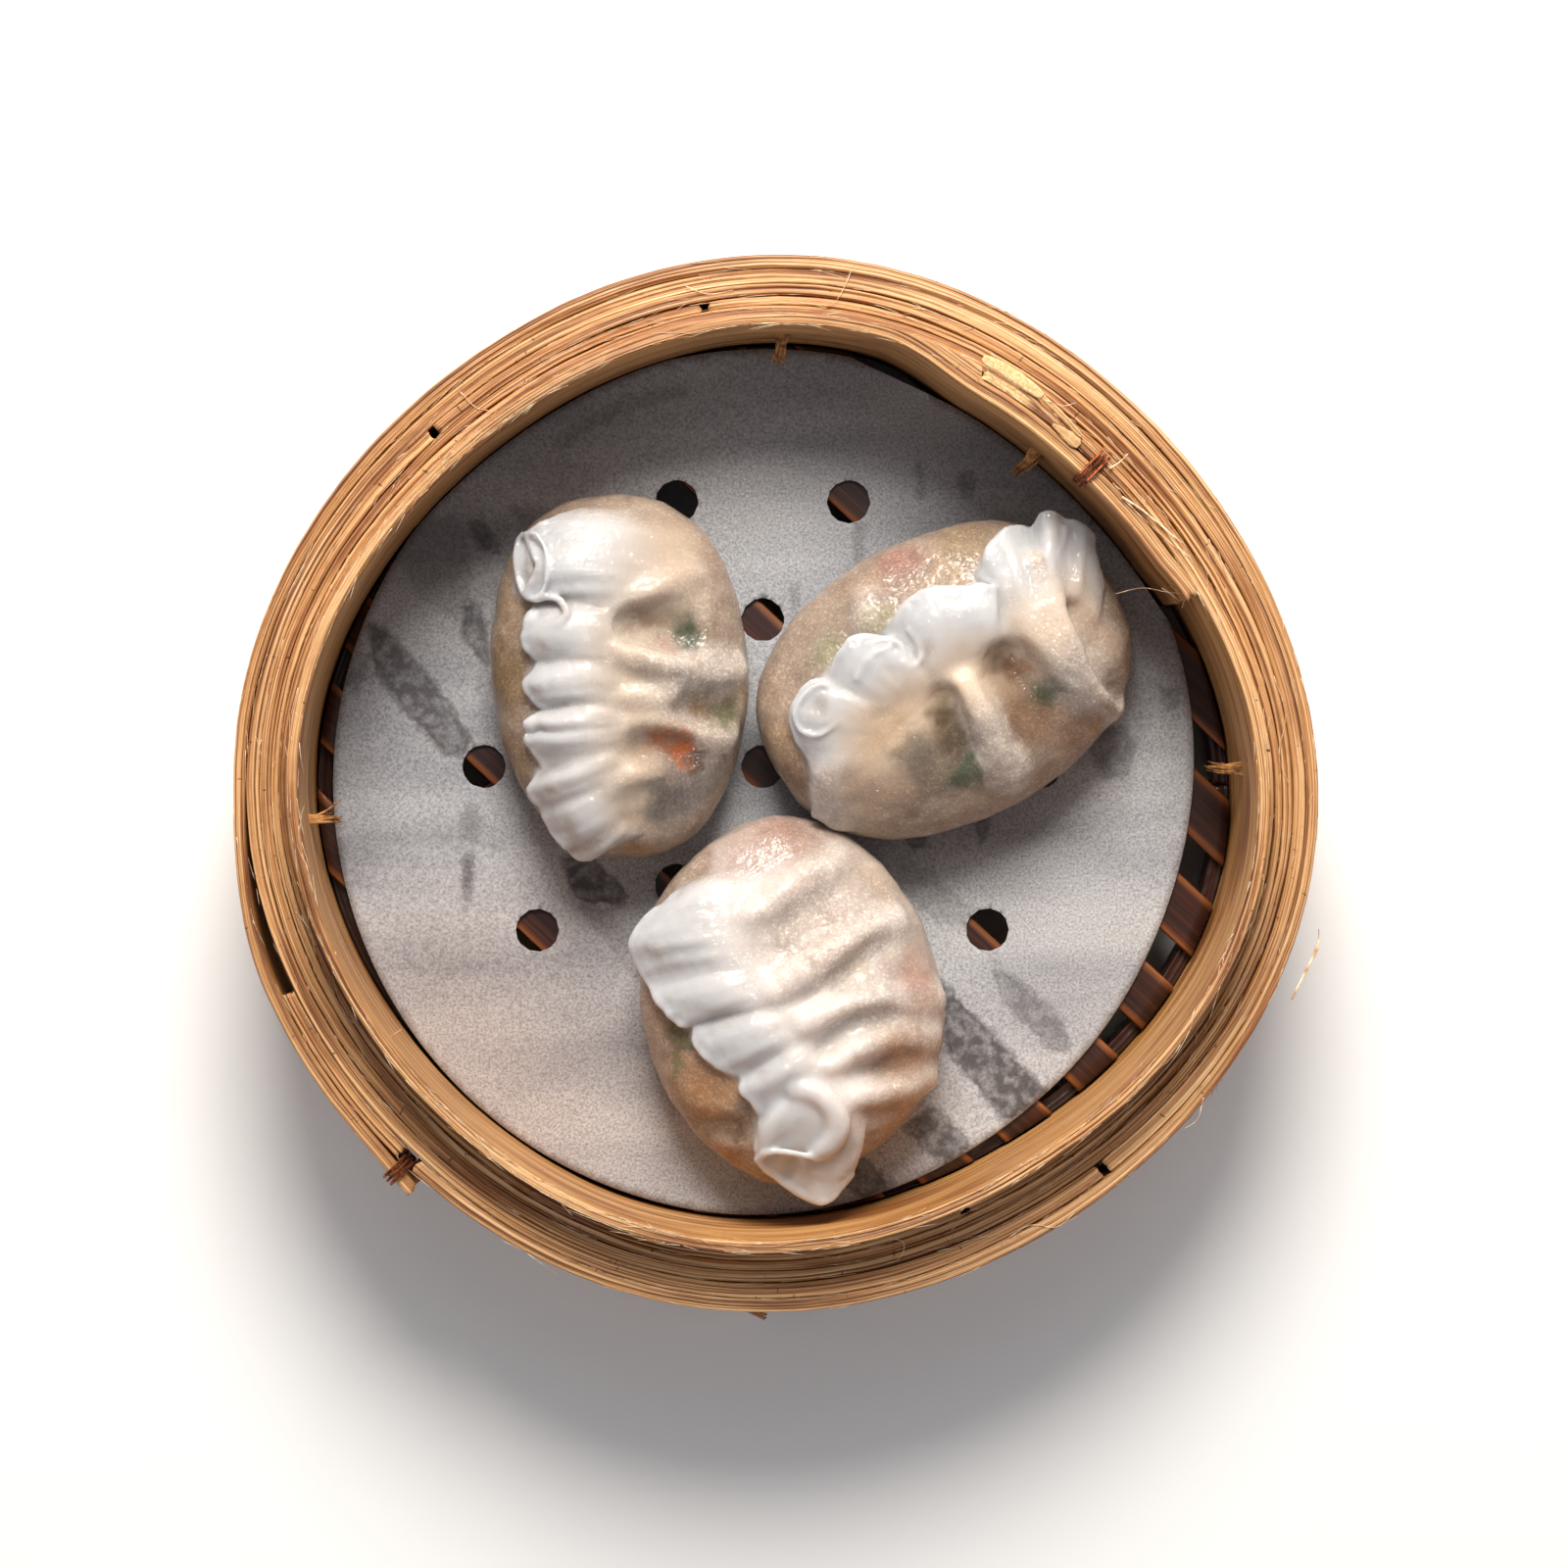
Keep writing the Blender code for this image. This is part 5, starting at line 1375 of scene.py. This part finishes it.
                     (822, 1179, 3.2, 0.5), (836, 1182, 2.6, 0.5)),
            "tube_low": ((774, 1184, 1.6, 0.6), (783, 1194, 1.2, 0.6), (805, 1210, 0.8, 0.6),
                         (824, 1220, 0.9, 0.6), (838, 1226, 1.2, 0.6)),
        },
        "thin": {
            "tube": (806, 1192, 14), "notch_2": (735, 1040, 9), "notch_3": (775, 1095, 9),
            "side": (868, 1175, 12),
        },
        "pale": {"main": 7.0, "second": 6.0, "third": 3.0, "fourth": 3.0, "upper": 4.0},
        "wet": ("main", "second", "upper"),
        "ridges": {
            "main": ((790, 1012, 0.4, 2.4), (850, 975, 0.4, 2.3), (912, 940, -0.4, 1.8)),
            "second": ((820, 1045, 0.4, 2.2), (880, 1026, 0.2, 2.2), (952, 1018, -0.8, 1.6)),
            "third": ((848, 1085, 0.2, 1.8), (900, 1062, 0.0, 1.8), (948, 1058, -1.0, 1.5)),
            "fourth": ((862, 1122, 0.2, 1.8), (910, 1112, -0.4, 1.7), (945, 1100, -1.2, 1.5)),
            "upper": ((768, 935, 0.2, 2.2), (810, 905, 0.0, 2.2), (850, 880, -0.8, 1.8)),
        },
        "hollows": {
            "one": ((858, 998, 1.6, 1.3), (904, 960, 1.7, 1.2)),
            "two": ((842, 1068, 1.6, 1.1), (868, 1044, 1.6, 1.1), (912, 1038, 1.7, 1.0)),
            "three": ((880, 1094, 1.5, 0.9), (940, 1090, 1.6, 0.9)),
            "notch": ((690, 1150, 1.6, 1.6), (752, 1156, 1.6, 1.6)),
        },
        "fillings": {
            "pink_top": (775, 872, 36, "#c2a196", 1.1), "pink_right": (936, 1006, 26, "#c39684", 1.3),
            "tan": (908, 1072, 28, "#b68d6c", 1.5), "orange": (928, 1088, 14, "#c2906a", 0.9),
            "olive": (694, 1056, 14, "#767350", 1.0), "tan_orange": (722, 1105, 26, "#cfa47a", 1.4),
            "crease": (748, 1154, 10, "#7d6246", 1.0), "orange_low": (745, 1180, 14, "#bd8f66", 0.9),
            "yellow": (872, 985, 14, "#cbbd8c", 0.8), "cap": (800, 852, 36, "#b39486", 1.8),
            "green_left": (690, 1085, 10, "#85865c", 0.8), "left": (682, 1125, 16, "#b29a7c", 0.9),
            "right_top": (896, 900, 30, "#cbb49b", 1.1), "pale": (826, 948, 60, "#dfd0c5", 2.0),
            "right_low": (900, 1130, 28, "#bb977a", 1.3),
        },
    },
}


def bellyPoint(form, along, around):
    # a point of the smooth belly in the dumpling's own axes
    swell = np.sin(along) ** skin["plan"]
    x = -form["halfLength"] * np.cos(along)
    lean = np.sign(np.cos(around)) * np.abs(np.cos(around)) ** skin["flanks"]
    rise = np.sign(np.sin(around)) * np.abs(np.sin(around)) ** skin["crown"]
    egg = 1 + form["egg"] * x / form["halfLength"]
    y = form["halfWidth"] * egg * swell * lean + form["skew"] * x
    low = skin["bellyShare"] * form["height"]
    high = (form["height"] - low) * np.sin(along) ** skin["back"]
    z = np.maximum(low + np.where(rise > 0, high, low) * rise, 0)
    return x, y, z


def bellyMesh(form):
    rings = skin["rings"]
    sides = skin["sides"]
    along = np.linspace(0.02, math.pi - 0.02, rings)[:, None]
    around = np.linspace(0, 2 * math.pi, sides, endpoint=False)[None, :]
    x, y, z = bellyPoint(form, along + 0 * around, around + 0 * along)
    turn = math.radians(form["turn"])
    worldX = form["centre"][0] + x * math.cos(turn) - y * math.sin(turn)
    worldY = form["centre"][1] + x * math.sin(turn) + y * math.cos(turn) + axisY
    points = np.stack([worldX, worldY, z + skin["rest"] + 0.1], axis=-1).reshape(-1, 3)
    first = len(points)
    last = first - sides
    points = np.concatenate([points, [points[:sides].mean(axis=0), points[last:].mean(axis=0)]])
    triangles = []
    for k in range(sides):
        nextK = (k + 1) % sides
        triangles += [(first, nextK, k), (first + 1, last + k, last + nextK)]
    # the ends are fans of triangles in place of one face each
    return points, tubeFaces(rings, sides)[:-2], triangles


def placeOnBelly(tree, px, py, lift, hang=0.0):
    # the point over the belly, or over the height at which the flap hangs, that shows at a pixel
    line = sightLine(px, py)
    hit, normal, _, _ = tree.ray_cast(camera["place"], line)
    if hit is None:
        near, normal, _, _ = tree.find_nearest(seenAt(px, py, 29.0))
        return np.array(seenAt(px, py, max(near.z, hang) + lift))
    rise = lift / max(abs(normal.dot(line)), 0.6)
    return np.array(seenAt(px, py, max(hit.z + rise, hang + lift)))


def pathOver(tree, stops, hang=0.0):
    # a smooth path of (x, y, z, radius) through stops given as pixels, heights and radii
    return smoothCurve(np.array([[*placeOnBelly(tree, px, py, lift, hang), radius]
                                 for px, py, lift, radius in stops]), 4)


def softUnion(first, second, reach):
    share = np.clip(0.5 + 0.5 * (second - first) / reach, 0, 1)
    return second * (1 - share) + first * share - reach * share * (1 - share)


def smoothCurve(places, steps):
    # a curve through rows of numbers, as more rows
    if len(places) < 3:
        return np.array([places[0] + (places[1] - places[0]) * t for t in np.linspace(0, 1, steps + 1)])
    padded = np.concatenate([[2 * places[0] - places[1]], places, [2 * places[-1] - places[-2]]])
    curve = []
    for p0, p1, p2, p3 in zip(padded, padded[1:], padded[2:], padded[3:]):
        for t in np.arange(steps) / steps:
            curve.append(0.5 * (2 * p1 + (p2 - p0) * t + (2 * p0 - 5 * p1 + 4 * p2 - p3) * t ** 2
                                + (3 * p1 - p0 - 3 * p2 + p3) * t ** 3))
    curve.append(places[-1])
    return np.array(curve)


def pathShares(points, path):
    # for each piece of a path of (x, y, z, radius) stops: how far along it every point lies, from 0
    # to 1, and how far away
    for a, b in zip(path, path[1:]):
        span = b[:3] - a[:3]
        share = np.clip(((points - a[:3]) @ span) / max(span @ span, 1e-9), 0, 1)
        yield a, b, share, np.linalg.norm(points - (a[:3] + share[..., None] * span), axis=-1)


def rollNear(cells, path, margin, blend):
    # the block of cells that a soft roll along a path can touch, and their distances from it
    widest = path[:, 3].max() + margin
    low = path[:, :3].min(axis=0) - widest
    high = path[:, :3].max(axis=0) + widest
    block = []
    for axis, line in enumerate((cells[:, 0, 0, 0], cells[0, :, 0, 1], cells[0, 0, :, 2])):
        inside = np.nonzero((line > low[axis]) & (line < high[axis]))[0]
        block.append(slice(inside[0], inside[-1] + 1))
    block = tuple(block)
    total = None
    for a, b, share, away in pathShares(cells[block], path):
        away = away - (a[3] + (b[3] - a[3]) * share)
        total = away if total is None else softUnion(total, away, blend)
    return block, total


def levelOf(points, quads, triangles, first, size, voxel):
    # distances to a mesh on the grid, negative inside it
    triangles = np.array(triangles, np.uint32).reshape(-1, 3)
    grid = openvdb.FloatGrid.createLevelSetFromPolygons(
        np.asarray(points, float), triangles=triangles, quads=np.array(quads, np.uint32),
        transform=openvdb.createLinearTransform(voxelSize=voxel), halfWidth=skin["reach"] / voxel)
    level = np.zeros(tuple(size), np.float32)
    grid.copyToArray(level, ijk=tuple(int(i) for i in first))
    return level


def flapMesh(form, tree):
    # the flap's upper skin through its lines, and the solid under it down into the belly
    lines = np.array([[placeOnBelly(tree, px, py, lift - 0.5 * (k == 0), form["hang"] * (k > 1))
                       for k, (px, py, lift) in enumerate(line)] for line in form["flap"].values()])
    across = smoothCurve(lines, skin["lineSteps"])
    skinGrid = np.array([smoothCurve(line, skin["stopSteps"]) for line in across])
    frilled = np.linspace(0, 1, skinGrid.shape[1])[None, :] ** 3 * skin["ruffle"]
    for axis in range(3):
        skinGrid[..., axis] += frilled * softNoise(skinGrid, skin["ruffleSize"], 11 + axis)
    rows, columns = skinGrid.shape[:2]
    top = skinGrid.reshape(-1, 3)
    quads = [(i * columns + k, i * columns + k + 1, (i + 1) * columns + k + 1, (i + 1) * columns + k)
             for i in range(rows - 1) for k in range(columns - 1)]
    depth = np.interp(np.linspace(0, 1, columns), skin["solidAt"], skin["solidDepth"])
    under = (skinGrid - np.array([0, 0, 1]) * depth[None, :, None]).reshape(-1, 3)
    count = len(top)
    solid = quads + [tuple(count + i for i in quad[::-1]) for quad in quads]
    border = (list(range(columns)) + [i * columns + columns - 1 for i in range(1, rows)]
              + [(rows - 1) * columns + k for k in range(columns - 2, -1, -1)]
              + [i * columns for i in range(rows - 2, 0, -1)])
    solid += [(b, a, count + a, count + b) for a, b in zip(border, border[1:] + border[:1])]
    return skinGrid, top, quads, np.concatenate([top, under]), solid


def skinMaterial():
    # steamed wheat-starch skin: wet, glossy and translucent, milky where it is folded over, fine starch
    # grains that break the shine up, the brightest of them partly painted glints, and the filling showing
    # through as colour, with painted shade in its hollows
    material, tree = newMaterial("steamed_starch_skin")
    place = addNode(tree, "TexCoord", get="Object")
    folds = addNode(tree, "Attribute", get="Vector", attribute_name="folds")
    filling, milky = [addNode(tree, "Attribute", get="Color", attribute_name=name)
                      for name in ("filling", "milky")]
    milk, wet = [addNode(tree, "Attribute", get="Fac", attribute_name=name) for name in ("milk", "wet")]
    grit = addNode(tree, "TexNoise", {"Vector": place},
                   {"Scale": skin["grit"], "Detail": 2.0, "Roughness": 0.6})
    chopped = addNode(tree, "TexNoise", {"Vector": place},
                      {"Scale": skin["chops"], "Detail": 4.0, "Roughness": 0.65})
    ripples = addNode(tree, "TexNoise", {"Vector": place},
                      {"Scale": skin["ripples"], "Detail": 2.0, "Roughness": 0.5})
    beads = addNode(tree, "TexNoise", {"Vector": place}, {"Scale": skin["beads"], "Detail": 1.0})
    # pulled skin: streaks along the folds
    streaks = addNode(tree, "TexNoise", {"Vector": folds}, {"Scale": 1.0, "Detail": 2.0})
    # starch grains as specks, the brightest lifted above white: partly painted glints
    grainsAndGlints = addNode(tree, "ValToRGB", {"Fac": grit}, ramp=[(0.32, 0.78), (0.56, 0.97), (0.7, 1.4)])
    chopTone = addNode(tree, "ValToRGB", {"Fac": chopped}, ramp=list(zip((0.34, 0.62), skin["chopped"])))
    gritted = addNode(tree, "Mix", {"A": filling, "B": grainsAndGlints}, {"Factor": 1.0}, **tinting)
    mottled = addNode(tree, "Mix", {"A": gritted, "B": chopTone}, {"Factor": 0.6}, **tinting)
    base = addNode(tree, "Mix", {"Factor": milk, "A": mottled, "B": milky}, **mixing)
    grainDepth = addNode(tree, "MapRange", {"Value": milk}, {"To Min": 0.45, "To Max": 0.05})
    grained = addNode(tree, "Bump", {"Height": grit, "Strength": grainDepth},
                      {"Distance": skin["gritRise"] / metre})
    rippled = addNode(tree, "Bump", {"Height": ripples}, {"Distance": skin["rippleRise"] / metre})
    pulled = addNode(tree, "Bump", {"Height": streaks, "Normal": rippled},
                     {"Distance": skin["streakRise"] / metre})
    beadDepth = addNode(tree, "MapRange", {"Value": milk}, {"To Min": 1.0, "To Max": 0.5})
    wetFilm = addNode(tree, "Bump", {"Height": beads, "Normal": pulled, "Strength": beadDepth},
                      {"Distance": skin["beadRise"] / metre})
    return finishMaterial(material, {"Base Color": base, "Normal": grained,
                                     "Coat Normal": wetFilm, "Coat Weight": wet},
                          {"Roughness": 0.45, "IOR": 1.4, "Specular IOR Level": 0.2, "Coat Roughness": 0.04,
                           "Subsurface Weight": 1.0, "Subsurface Scale": skin["scatter"] / metre,
                           "Subsurface Radius": (1.0, 0.85, 0.75)})


def nearPaths(points, paths, wide):
    # 1 on the nearest path, falling off over wide times its radius
    near = np.zeros(len(points))
    for path in paths:
        for a, _, _, away in pathShares(points, path):
            near = np.maximum(near, np.exp(-(away / (a[3] * wide + 0.6)) ** 3))
    return near


def fillingColours(form, tree, points, folds):
    # the belly's own tan, and each patch of filling that shows through, as weighted colours; paler where the
    # skin stands up in a ridge and darker in a hollow, partly where it is pressed on to the filling and
    # partly painted shade
    wobbles = [sum(softNoise(points, size, first + seed) * amount for size, amount, seed in skin["wobble"])
               for first in (7, 8, 9)]
    wobbled = points + np.stack(wobbles, axis=-1)
    shown = np.zeros(len(points))
    layers = [(skin["belly"], np.full(len(points), skin["bellyWeight"]))]
    for px, py, radius, colour, strength in form["fillings"].values():
        middle = placeOnBelly(tree, px, py, 0.0)
        away = np.linalg.norm(wobbled - middle, axis=-1) / (radius * skin["pixel"])
        falloff = np.exp(-(away ** 3))
        shown = np.maximum(shown, np.clip(strength - 0.7, 0, 0.9) * falloff)
        layers.append((colour, strength * (3.5 if strength > 1.1 else 2.5) * falloff))
    for name, path in folds["ridges"].items():
        strength = form["pale"].get(name, skin["ridgePale"])
        layers.append((skin["fold"], nearPaths(points, [path], skin["ridgeWide"]) * strength))
    # the hollows' darker colour, partly painted shade
    for path in folds["hollows"].values():
        layers.append((skin["hollow"], nearPaths(points, [path], skin["hollowWide"])))
    total = sum(weight[:, None] * np.array(linear(colour)) for colour, weight in layers)
    mixed = total / sum(weight for _, weight in layers)[:, None] * np.array([skin["shade"]] * 3 + [1.0])
    muted = (1 - skin["colourful"]) * (1 - shown[:, None])  # the skin greys what lies under it
    mixed[:, :3] += muted * (mixed[:, :3].mean(axis=1, keepdims=True) - mixed[:, :3])
    return mixed, shown


def shapeDumpling(form):
    # the dumpling's skin as a mesh: the belly with its ridges, joined softly to the flap with its
    # rolls, rims and mouths, less the hollows
    voxel = skin["voxel"]
    points, quads, triangles = bellyMesh(form)
    tree = BVHTree.FromPolygons([tuple(p) for p in points], quads + triangles)
    flapGrid, flapTop, flapQuads, flapSolid, solidQuads = flapMesh(form, tree)
    low = np.minimum(points.min(axis=0), flapTop.min(axis=0)) - 3
    high = np.maximum(points.max(axis=0), flapTop.max(axis=0)) + 3
    first = np.floor(low / voxel).astype(int)
    size = np.ceil((high - low) / voxel).astype(int)
    grid = (first, size, voxel)
    index = np.stack(np.meshgrid(*[np.arange(n) for n in size], indexing="ij"), axis=-1)
    cells = ((index + first) * voxel).astype(np.float32)

    def rolls(kind, hang=0.0, blend=0.6):
        # every form of one kind: the cells near it, their distances from it, how softly it joins
        margin, soft = skin["joins"][kind]
        for stops in form.get(kind, {}).values():
            yield *rollNear(cells, pathOver(tree, stops, hang), margin, blend), soft

    field = levelOf(points, quads, triangles, *grid)
    for block, ridge, soft in rolls("ridges"):
        field[block] = softUnion(field[block], ridge, soft)
    sheet = np.abs(levelOf(flapTop, flapQuads, [], *grid)) - skin["flapHalf"]
    crest = softUnion(sheet, levelOf(flapSolid, solidQuads, [], *grid), skin["solidJoins"])
    folded = sheet.copy()
    for block, roll, soft in rolls("rolls", form["hang"]):
        folded[block] = np.minimum(folded[block], roll)
        crest[block] = softUnion(crest[block], roll, soft)
    edge = np.c_[flapGrid[:, -1], np.full(len(flapGrid), skin["rimRadius"])]
    margin, soft = skin["joins"]["edge"]
    for start in range(0, len(edge) - 1, 4):
        block, rim = rollNear(cells, edge[start:start + 5], margin, 0.2)
        crest[block] = softUnion(crest[block], rim, soft)
    mouth = np.full(field.shape, 9.0, np.float32)
    for block, hole, soft in rolls("mouths", form["hang"]):
        mouth[block] = np.minimum(mouth[block], hole)
        crest[block] = -softUnion(-crest[block], hole, soft)
    for block, rim, soft in rolls("rims", form["hang"], 0.2):
        folded[block] = np.minimum(folded[block], rim)
        crest[block] = softUnion(crest[block], rim, soft)
    field = softUnion(field, crest, skin["flapJoins"])
    for block, hollow, soft in rolls("hollows"):
        field[block] = -softUnion(-field[block], hollow, soft)
    field = np.maximum(field, skin["rest"] + 0.05 - cells[..., 2])

    shaped = openvdb.FloatGrid(20.0)
    shaped.copyFromArray(np.ascontiguousarray(field, np.float32), ijk=tuple(int(i) for i in first))
    shaped.transform = openvdb.createLinearTransform(voxelSize=voxel)
    surface, faces = shaped.convertToQuads(0.0)
    surface = surface.astype(float)
    cell = tuple(np.clip(np.round(surface / voxel - first).astype(int), 0, size - 1).T)
    return tree, flapGrid, surface, faces, folded[cell], mouth[cell]


def placeOnFlap(form, flapGrid, surface):
    # for each point of the skin: which of the flap's lines it is at, how far out along it, from 0
    # to 1, and how much the flap stands off there
    flapTop = flapGrid.reshape(-1, 3)
    columns = flapGrid.shape[1]
    nearest = KDTree(len(flapTop))
    for number, point in enumerate(flapTop):
        nearest.insert(point, number)
    nearest.balance()
    found = [nearest.find_n(point, 3) for point in surface]
    number = np.array([near[0][1] for near in found])
    closeness = np.array([[1 / (spot[2] + 0.05) for spot in near] for near in found])
    lineAt = np.array([[spot[1] // columns for spot in near] for near in found]) / skin["lineSteps"]
    lineAt = (lineAt * closeness).sum(axis=1) / closeness.sum(axis=1)
    lifts = np.array([max(stop[2] for stop in line) for line in form["flap"].values()])
    lineNumber = number // columns / skin["lineSteps"]
    stands = np.interp(lineNumber, np.arange(len(lifts)), np.clip(lifts / 1.8, 0.3, 1.0))
    return lineAt, (number % columns) / (columns - 1), stands


def buildDumpling(name, form, material):
    tree, flapGrid, surface, faces, nearFlap, nearMouth = shapeDumpling(form)
    lineAt, reach, stands = placeOnFlap(form, flapGrid, surface)
    # milky far down the root side only
    fade = form["fade"] + (skin["edgeFade"] - form["fade"]) * smoothstep(reach, *skin["rootEnds"])
    cover = 1 - smoothstep(nearFlap + softNoise(surface, 3.0, 5) * 0.4, 0.2, fade)
    atRoot, more = skin["milkiness"]
    milk = cover * stands * (atRoot + more * smoothstep(reach, 0.0, 0.5))
    milk = np.maximum(milk, 0.95 * (1 - smoothstep(nearMouth, 0.3, 0.9)))
    # less milky at the listed places: partly thin skin, partly painted shade
    for px, py, radius in form["thin"].values():
        away = np.linalg.norm(surface - placeOnBelly(tree, px, py, 3.0, form["hang"]), axis=-1)
        milk = milk * (1 - skin["thinned"] * np.exp(-(away / (radius * skin["pixel"])) ** 3))
    folds = {kind: {fold: pathOver(tree, stops) for fold, stops in form[kind].items()}
             for kind in ("ridges", "hollows")}
    colours, shown = fillingColours(form, tree, surface, folds)
    # the hollows also lose their milkiness, which is partly painted shade
    pressed = nearPaths(surface, folds["hollows"].values(), 0.95) * skin["pressed"]
    pressed = np.maximum(pressed, shown)
    wet = nearPaths(surface, [folds["ridges"][ridge] for ridge in form["wet"]], 1.1)
    wet = np.maximum(np.maximum(wet, milk), skin["dry"])
    milk = milk * (1 - pressed * (1 - smoothstep(reach, 0.2, 0.5)))
    stops = np.array([linear(colour) for colour in (form["root"], skin["milk"], skin["edge"])])
    milky = np.stack([np.interp(reach, (0.05, 0.5, 0.95), stops[:, k]) for k in range(4)], axis=-1)
    streaked = np.stack([lineAt * 4, reach * 3, reach * 0], axis=-1)  # four streaks to a line of the flap
    piece = newPiece(name.replace("dumpling", "crystal_dumpling"), surface, faces[:, ::-1], material,
                     [name],
                     {"milk": milk, "milky": milky, "filling": colours, "wet": wet, "folds": streaked})
    normals = np.zeros(len(surface) * 3, np.float32)
    piece.data.vertices.foreach_get("normal", normals)
    lumps = sum(softNoise(surface, size, seed) * rise for size, rise, seed in skin["lumps"])
    size, rise, seed = skin["wrinkles"]
    wrinkles = softNoise(surface, size, seed) * rise
    alongFold = np.stack([lineAt / 0.42, reach * 1.6, reach * 0], axis=-1)
    wrinkles += softNoise(alongFold, 1.0, 14) * skin["pleat"] * cover * smoothstep(reach, 0.02, 0.4)
    raised = surface + normals.reshape(-1, 3) * (lumps * (1 - milk * 0.8) + wrinkles)[:, None]
    raised[:, 2] = np.maximum(raised[:, 2], skin["rest"])
    piece.data.vertices.foreach_set("co", (raised / metre).ravel())
    piece.data.update()
    print("dumpling:", name, len(faces), "faces")


def buildDumplings():
    material = skinMaterial()
    for name, form in dumplings.items():
        buildDumpling(name, form, material)


for build in (buildCamera, buildLight, buildFloor, buildWall, buildSlats, buildPaper, dressTies,
              buildCaneEnds, buildFuzz, buildDumplings):
    build()

for corners in (cadBox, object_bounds()):
    str([[round(float(c), 6) for c in corner] for corner in corners]) + "\n"
